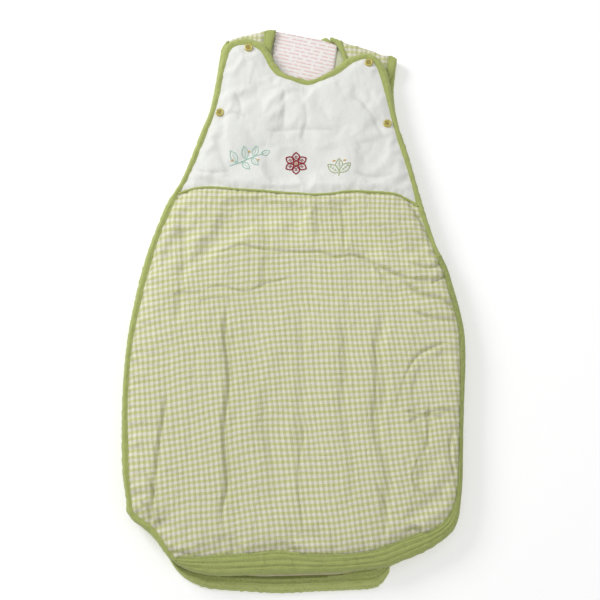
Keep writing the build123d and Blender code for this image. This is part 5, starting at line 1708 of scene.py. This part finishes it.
def satin(bagobj, line, width, idx, pitch=0.62, r=0.3, slant=0.5, seed=1):
    """A line worked in close slanting stitches."""
    L = np.array(line, float)
    s = arc(L)
    T = np.gradient(L, axis=0)
    T /= np.linalg.norm(T, axis=1)[:, None] + 1e-9
    rng = np.random.RandomState(seed)
    for t in np.arange(0.1, s[-1], pitch):
        c = np.array([np.interp(t, s, L[:, k]) for k in (0, 1)])
        d = unit([np.interp(t, s, T[:, k]) + 1e-9 for k in (0, 1)])
        nn = np.array([-d[1], d[0]])
        dirn = unit(nn + d * slant)
        hw = width / 2 * (1 + rng.uniform(-0.12, 0.12))
        zc = surf(*c)
        P = [[*(c + dirn * hw * k), zc + h] for k, h in ((-1, -0.05), (-0.55, 0.36), (0, 0.5), (0.55, 0.36), (1, -0.05))]
        v, f = tube(P, r, 5)
        bagobj.add(v, f, idx)


def running(bagobj, line, idx, pitch=1.9, length=1.6, r=0.32):
    L = resample(line, max(4, int(arc(np.array(line))[-1] / 0.8)))
    z = surf_many(L) + 0.22
    v, f = stitches(np.column_stack([L, z]), pitch, length, r)
    if len(v):
        bagobj.add(v, f, idx)


m1, m2, m3 = [np.array(m, float) for m in MOTIF]
PI = 0.62
bag = Bag()
satin(bag, resample(np.array([m1 + (-21, -10.4), m1 + (-8, -5.6), m1 + (6, 0.3), m1 + (20, 6)]), 40), 1.3, 0, PI)
for lx, ly, ll, lw, la in [(-12, -6.8, 18, 8, 118), (-1, -2.4, 18, 8, 98), (-6, -4.4, 15, 7, -48), (9, 1.6, 16, 7.5, 78), (6, 0.4, 14, 7, -52), (18, 5.2, 12, 7, 24)]:
    satin(bag, petal_line(m1[0] + lx, m1[1] + ly, ll, lw, la), 1.15, 0, PI)
    a = math.radians(la)
    running(bag, np.array([m1 + (lx, ly), m1 + (lx + 0.8 * ll * math.cos(a), ly + 0.8 * ll * math.sin(a))]), 0)
for dx, dy in ((-17.5, -3.5), (3.2, 8.4), (14.5, -3.6)):
    satin(bag, np.array([m1 + (dx - 1.5, dy), m1 + (dx + 1.5, dy + 0.4)]), 2.6, 1, 0.5)
ob = bag.make("embroidery_sprig_threads", [M["mint"], M["amber"]], "front")
declare(ob, "thread_mint", "embroidery_sprig")
bag = Bag()
for k in range(6):
    satin(bag, petal_line(m2[0] + 3.4 * math.cos(math.radians(60 * k + 30)), m2[1] + 3.4 * math.sin(math.radians(60 * k + 30)), 11.2, 8.6, 60 * k + 30), 1.9, 0, PI, 0.36)
    a = math.radians(60 * k + 30)
    for off in (-1.2, 0, 1.2):
        p0 = m2 + np.array([5.5 * math.cos(a) - off * math.sin(a), 5.5 * math.sin(a) + off * math.cos(a)])
        running(bag, np.array([p0, p0 + np.array([5.5 * math.cos(a), 5.5 * math.sin(a)])]), 0, 2.2, 1.8, 0.36)
t = np.linspace(0, 2 * math.pi, 40)
satin(bag, np.stack([m2[0] + 3.0 * np.cos(t), m2[1] + 3.0 * np.sin(t)], 1), 1.6, 0, PI, 0.34)
for k in range(5):
    a = k * 2 * math.pi / 5
    satin(bag, np.array([m2, m2 + 1.5 * np.array([math.cos(a), math.sin(a)])]), 0.9, 1, PI)
ob = bag.make("embroidery_flower_threads", [M["red"], M["amber"]], "front")
declare(ob, "thread_red", "embroidery_flower")
bag = Bag()
satin(bag, resample(smooth([m3 + (-1.0, -11.5), m3 + (0.5, -7), m3 + (0.0, -2)], 1.0), 20), 1.3, 0, PI)
for (px, py, ll, lw, la) in ((m3[0], m3[1] - 7.5, 19, 9.5, 138), (m3[0], m3[1] - 7.5, 19, 9.5, 42), (m3[0], m3[1] - 3.0, 15, 8.5, 90)):
    satin(bag, petal_line(px, py, ll, lw, la), 1.15, 0, PI)
    a = math.radians(la)
    running(bag, np.array([(px + 2 * math.cos(a), py + 2 * math.sin(a)), (px + 0.85 * ll * math.cos(a), py + 0.85 * ll * math.sin(a))]), 0)
    for k in (0.3, 0.5, 0.7):
        q = np.array([px + k * ll * math.cos(a), py + k * ll * math.sin(a)])
        for sg in (-1, 1):
            b_ = a + sg * 0.8
            running(bag, np.array([q, q + 3.4 * np.array([math.cos(b_), math.sin(b_)])]), 0)
for dx, dy in ((-6.2, 9.6), (7.2, 9.0)):
    satin(bag, np.array([m3 + (dx - 1.4, dy), m3 + (dx + 1.4, dy)]), 2.4, 1, 0.5)
ob = bag.make("embroidery_leaf_threads", [M["sage"], M["amber"]], "front")
declare(ob, "thread_sage", "embroidery_leaf")

# ------------------------------------------------------------------ blank satin label on the back lining
def make_satin():
    m, nt, b = material("label_satin", 0.42, 0.1, 0.5)
    uv, u, v, ob = uvs(nt)
    # rows of soft pink dashes stand in for a printed list; they form no letters
    row = mth(nt, "PINGPONG", mth(nt, "MULTIPLY", v, 1 / 5.2), 0.5)
    line = node(nt, "ShaderNodeMapRange", {"Value": row, "From Min": 0.16, "From Max": 0.24}, interpolation_type="SMOOTHSTEP").outputs[0]
    inv = mth(nt, "SUBTRACT", 1.0, line)
    dash = noise(nt, node(nt, "ShaderNodeMapping", {"Vector": uv, "Scale": (0.16, 0.19, 1.0)}).outputs[0], 1.0, 1.0)
    brk = node(nt, "ShaderNodeMapRange", {"Value": dash, "From Min": 0.42, "From Max": 0.47}, interpolation_type="SMOOTHSTEP").outputs[0]
    f = mth(nt, "MULTIPLY", mth(nt, "MULTIPLY", inv, brk), 0.6)
    c = mixc(nt, f, srgb(246, 242, 240), srgb(228, 176, 174))
    nt.links.new(c, b.inputs["Base Color"])
    nt.links.new(weave_bump(nt, u, v, 5.0, 0.12, noise(nt, ob, 200.0, 3.0), 0.6, 0.0003), b.inputs["Normal"])
    return m


M["satin"] = make_satin()
LP = even(np.array(LABEL, float), 3.0)
lp, ltri = tri_region(LP, 3.0, (), 0.1, 8)
c0, c1, c2, c3, c4 = [np.array(p, float) for p in LABEL]
lu = unit(c2 - c0)
lvv = np.array([-lu[1], lu[0]])
uvl = np.stack([(lp - c0) @ lu, (lp - c0) @ lvv], 1)
lz = 9.12 + 0.1 * vnoise(lp[:, 0], lp[:, 1], 18, 14)
n_l = len(lp)
V = np.vstack([np.column_stack([lp, lz + 0.12]), np.column_stack([lp, lz - 0.08])])
F = [tuple(x) for x in ltri] + [(x[0] + n_l, x[2] + n_l, x[1] + n_l) for x in ltri]
lo_ = boundary_loop(ltri)
for i in range(len(lo_)):
    a, b = lo_[i], lo_[(i + 1) % len(lo_)]
    F.append((a, a + n_l, b + n_l, b))
label = put("care_label_blank", V, F, [M["satin"]], None, np.vstack([uvl, uvl]), "back")
orient(label)
declare(label, "label_satin", "care_label")

# ------------------------------------------------------------------ floor, light, camera
def flat_plane(name, size, z, mat):
    me_ = bpy.data.meshes.new(name)
    h = size / 2
    me_.from_pydata([(-h, -h, z), (h, -h, z), (h, h, z), (-h, h, z)], [], [(0, 1, 2, 3)])
    me_.materials.append(mat)
    o = bpy.data.objects.new(name, me_)
    bpy.context.scene.collection.objects.link(o)
    return o


fm = bpy.data.materials.new("studio_floor")
fm.use_nodes = True
fb = fm.node_tree.nodes["Principled BSDF"]
fb.inputs["Base Color"].default_value = (0.84, 0.84, 0.84, 1)
fb.inputs["Emission Color"].default_value = (1, 1, 1, 1)
fb.inputs["Emission Strength"].default_value = 0.3
fb.inputs["Roughness"].default_value = 0.9
fb.inputs["Specular IOR Level"].default_value = 0.1
flat_plane("studio_floor", 8.0, -0.0012, fm)

world = bpy.data.worlds.new("studio")
bpy.context.scene.world = world
world.use_nodes = True
world.node_tree.nodes["Background"].inputs[0].default_value = (1.0, 1.0, 1.0, 1)
world.node_tree.nodes["Background"].inputs[1].default_value = 0.46


def area(name, loc, target, size, power, color=(1, 1, 1)):
    l = bpy.data.lights.new(name, "AREA")
    l.shape = "SQUARE"
    l.size = size
    l.energy = power
    l.color = color
    o = bpy.data.objects.new(name, l)
    o.location = loc
    o.rotation_euler = (Vector(target) - Vector(loc)).to_track_quat("-Z", "Y").to_euler()
    bpy.context.scene.collection.objects.link(o)
    return o


area("key", (-1.3, 1.0, 1.05), (0, 0, 0), 0.8, 21)
area("fill", (1.3, -0.4, 1.6), (0, 0, 0), 1.6, 4.5)
area("top", (0.0, 0.2, 2.4), (0, 0, 0), 1.8, 6.5)

cam_d = bpy.data.cameras.new("camera")
cam = bpy.data.objects.new("camera", cam_d)
bpy.context.scene.collection.objects.link(cam)
cam.location = (0.00598, -0.31325, 1.12581)
cam.rotation_euler = (Vector((0.00598, -0.01561, 0.015)) - cam.location).to_track_quat("-Z", "Y").to_euler()
cam_d.lens = 56.6
cam_d.sensor_width = 36.0
bpy.context.scene.camera = cam
bpy.context.scene.view_settings.view_transform = "Standard"
bpy.context.scene.view_settings.look = "None"
bpy.context.scene.view_settings.exposure = 0.0

bpy.context.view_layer.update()
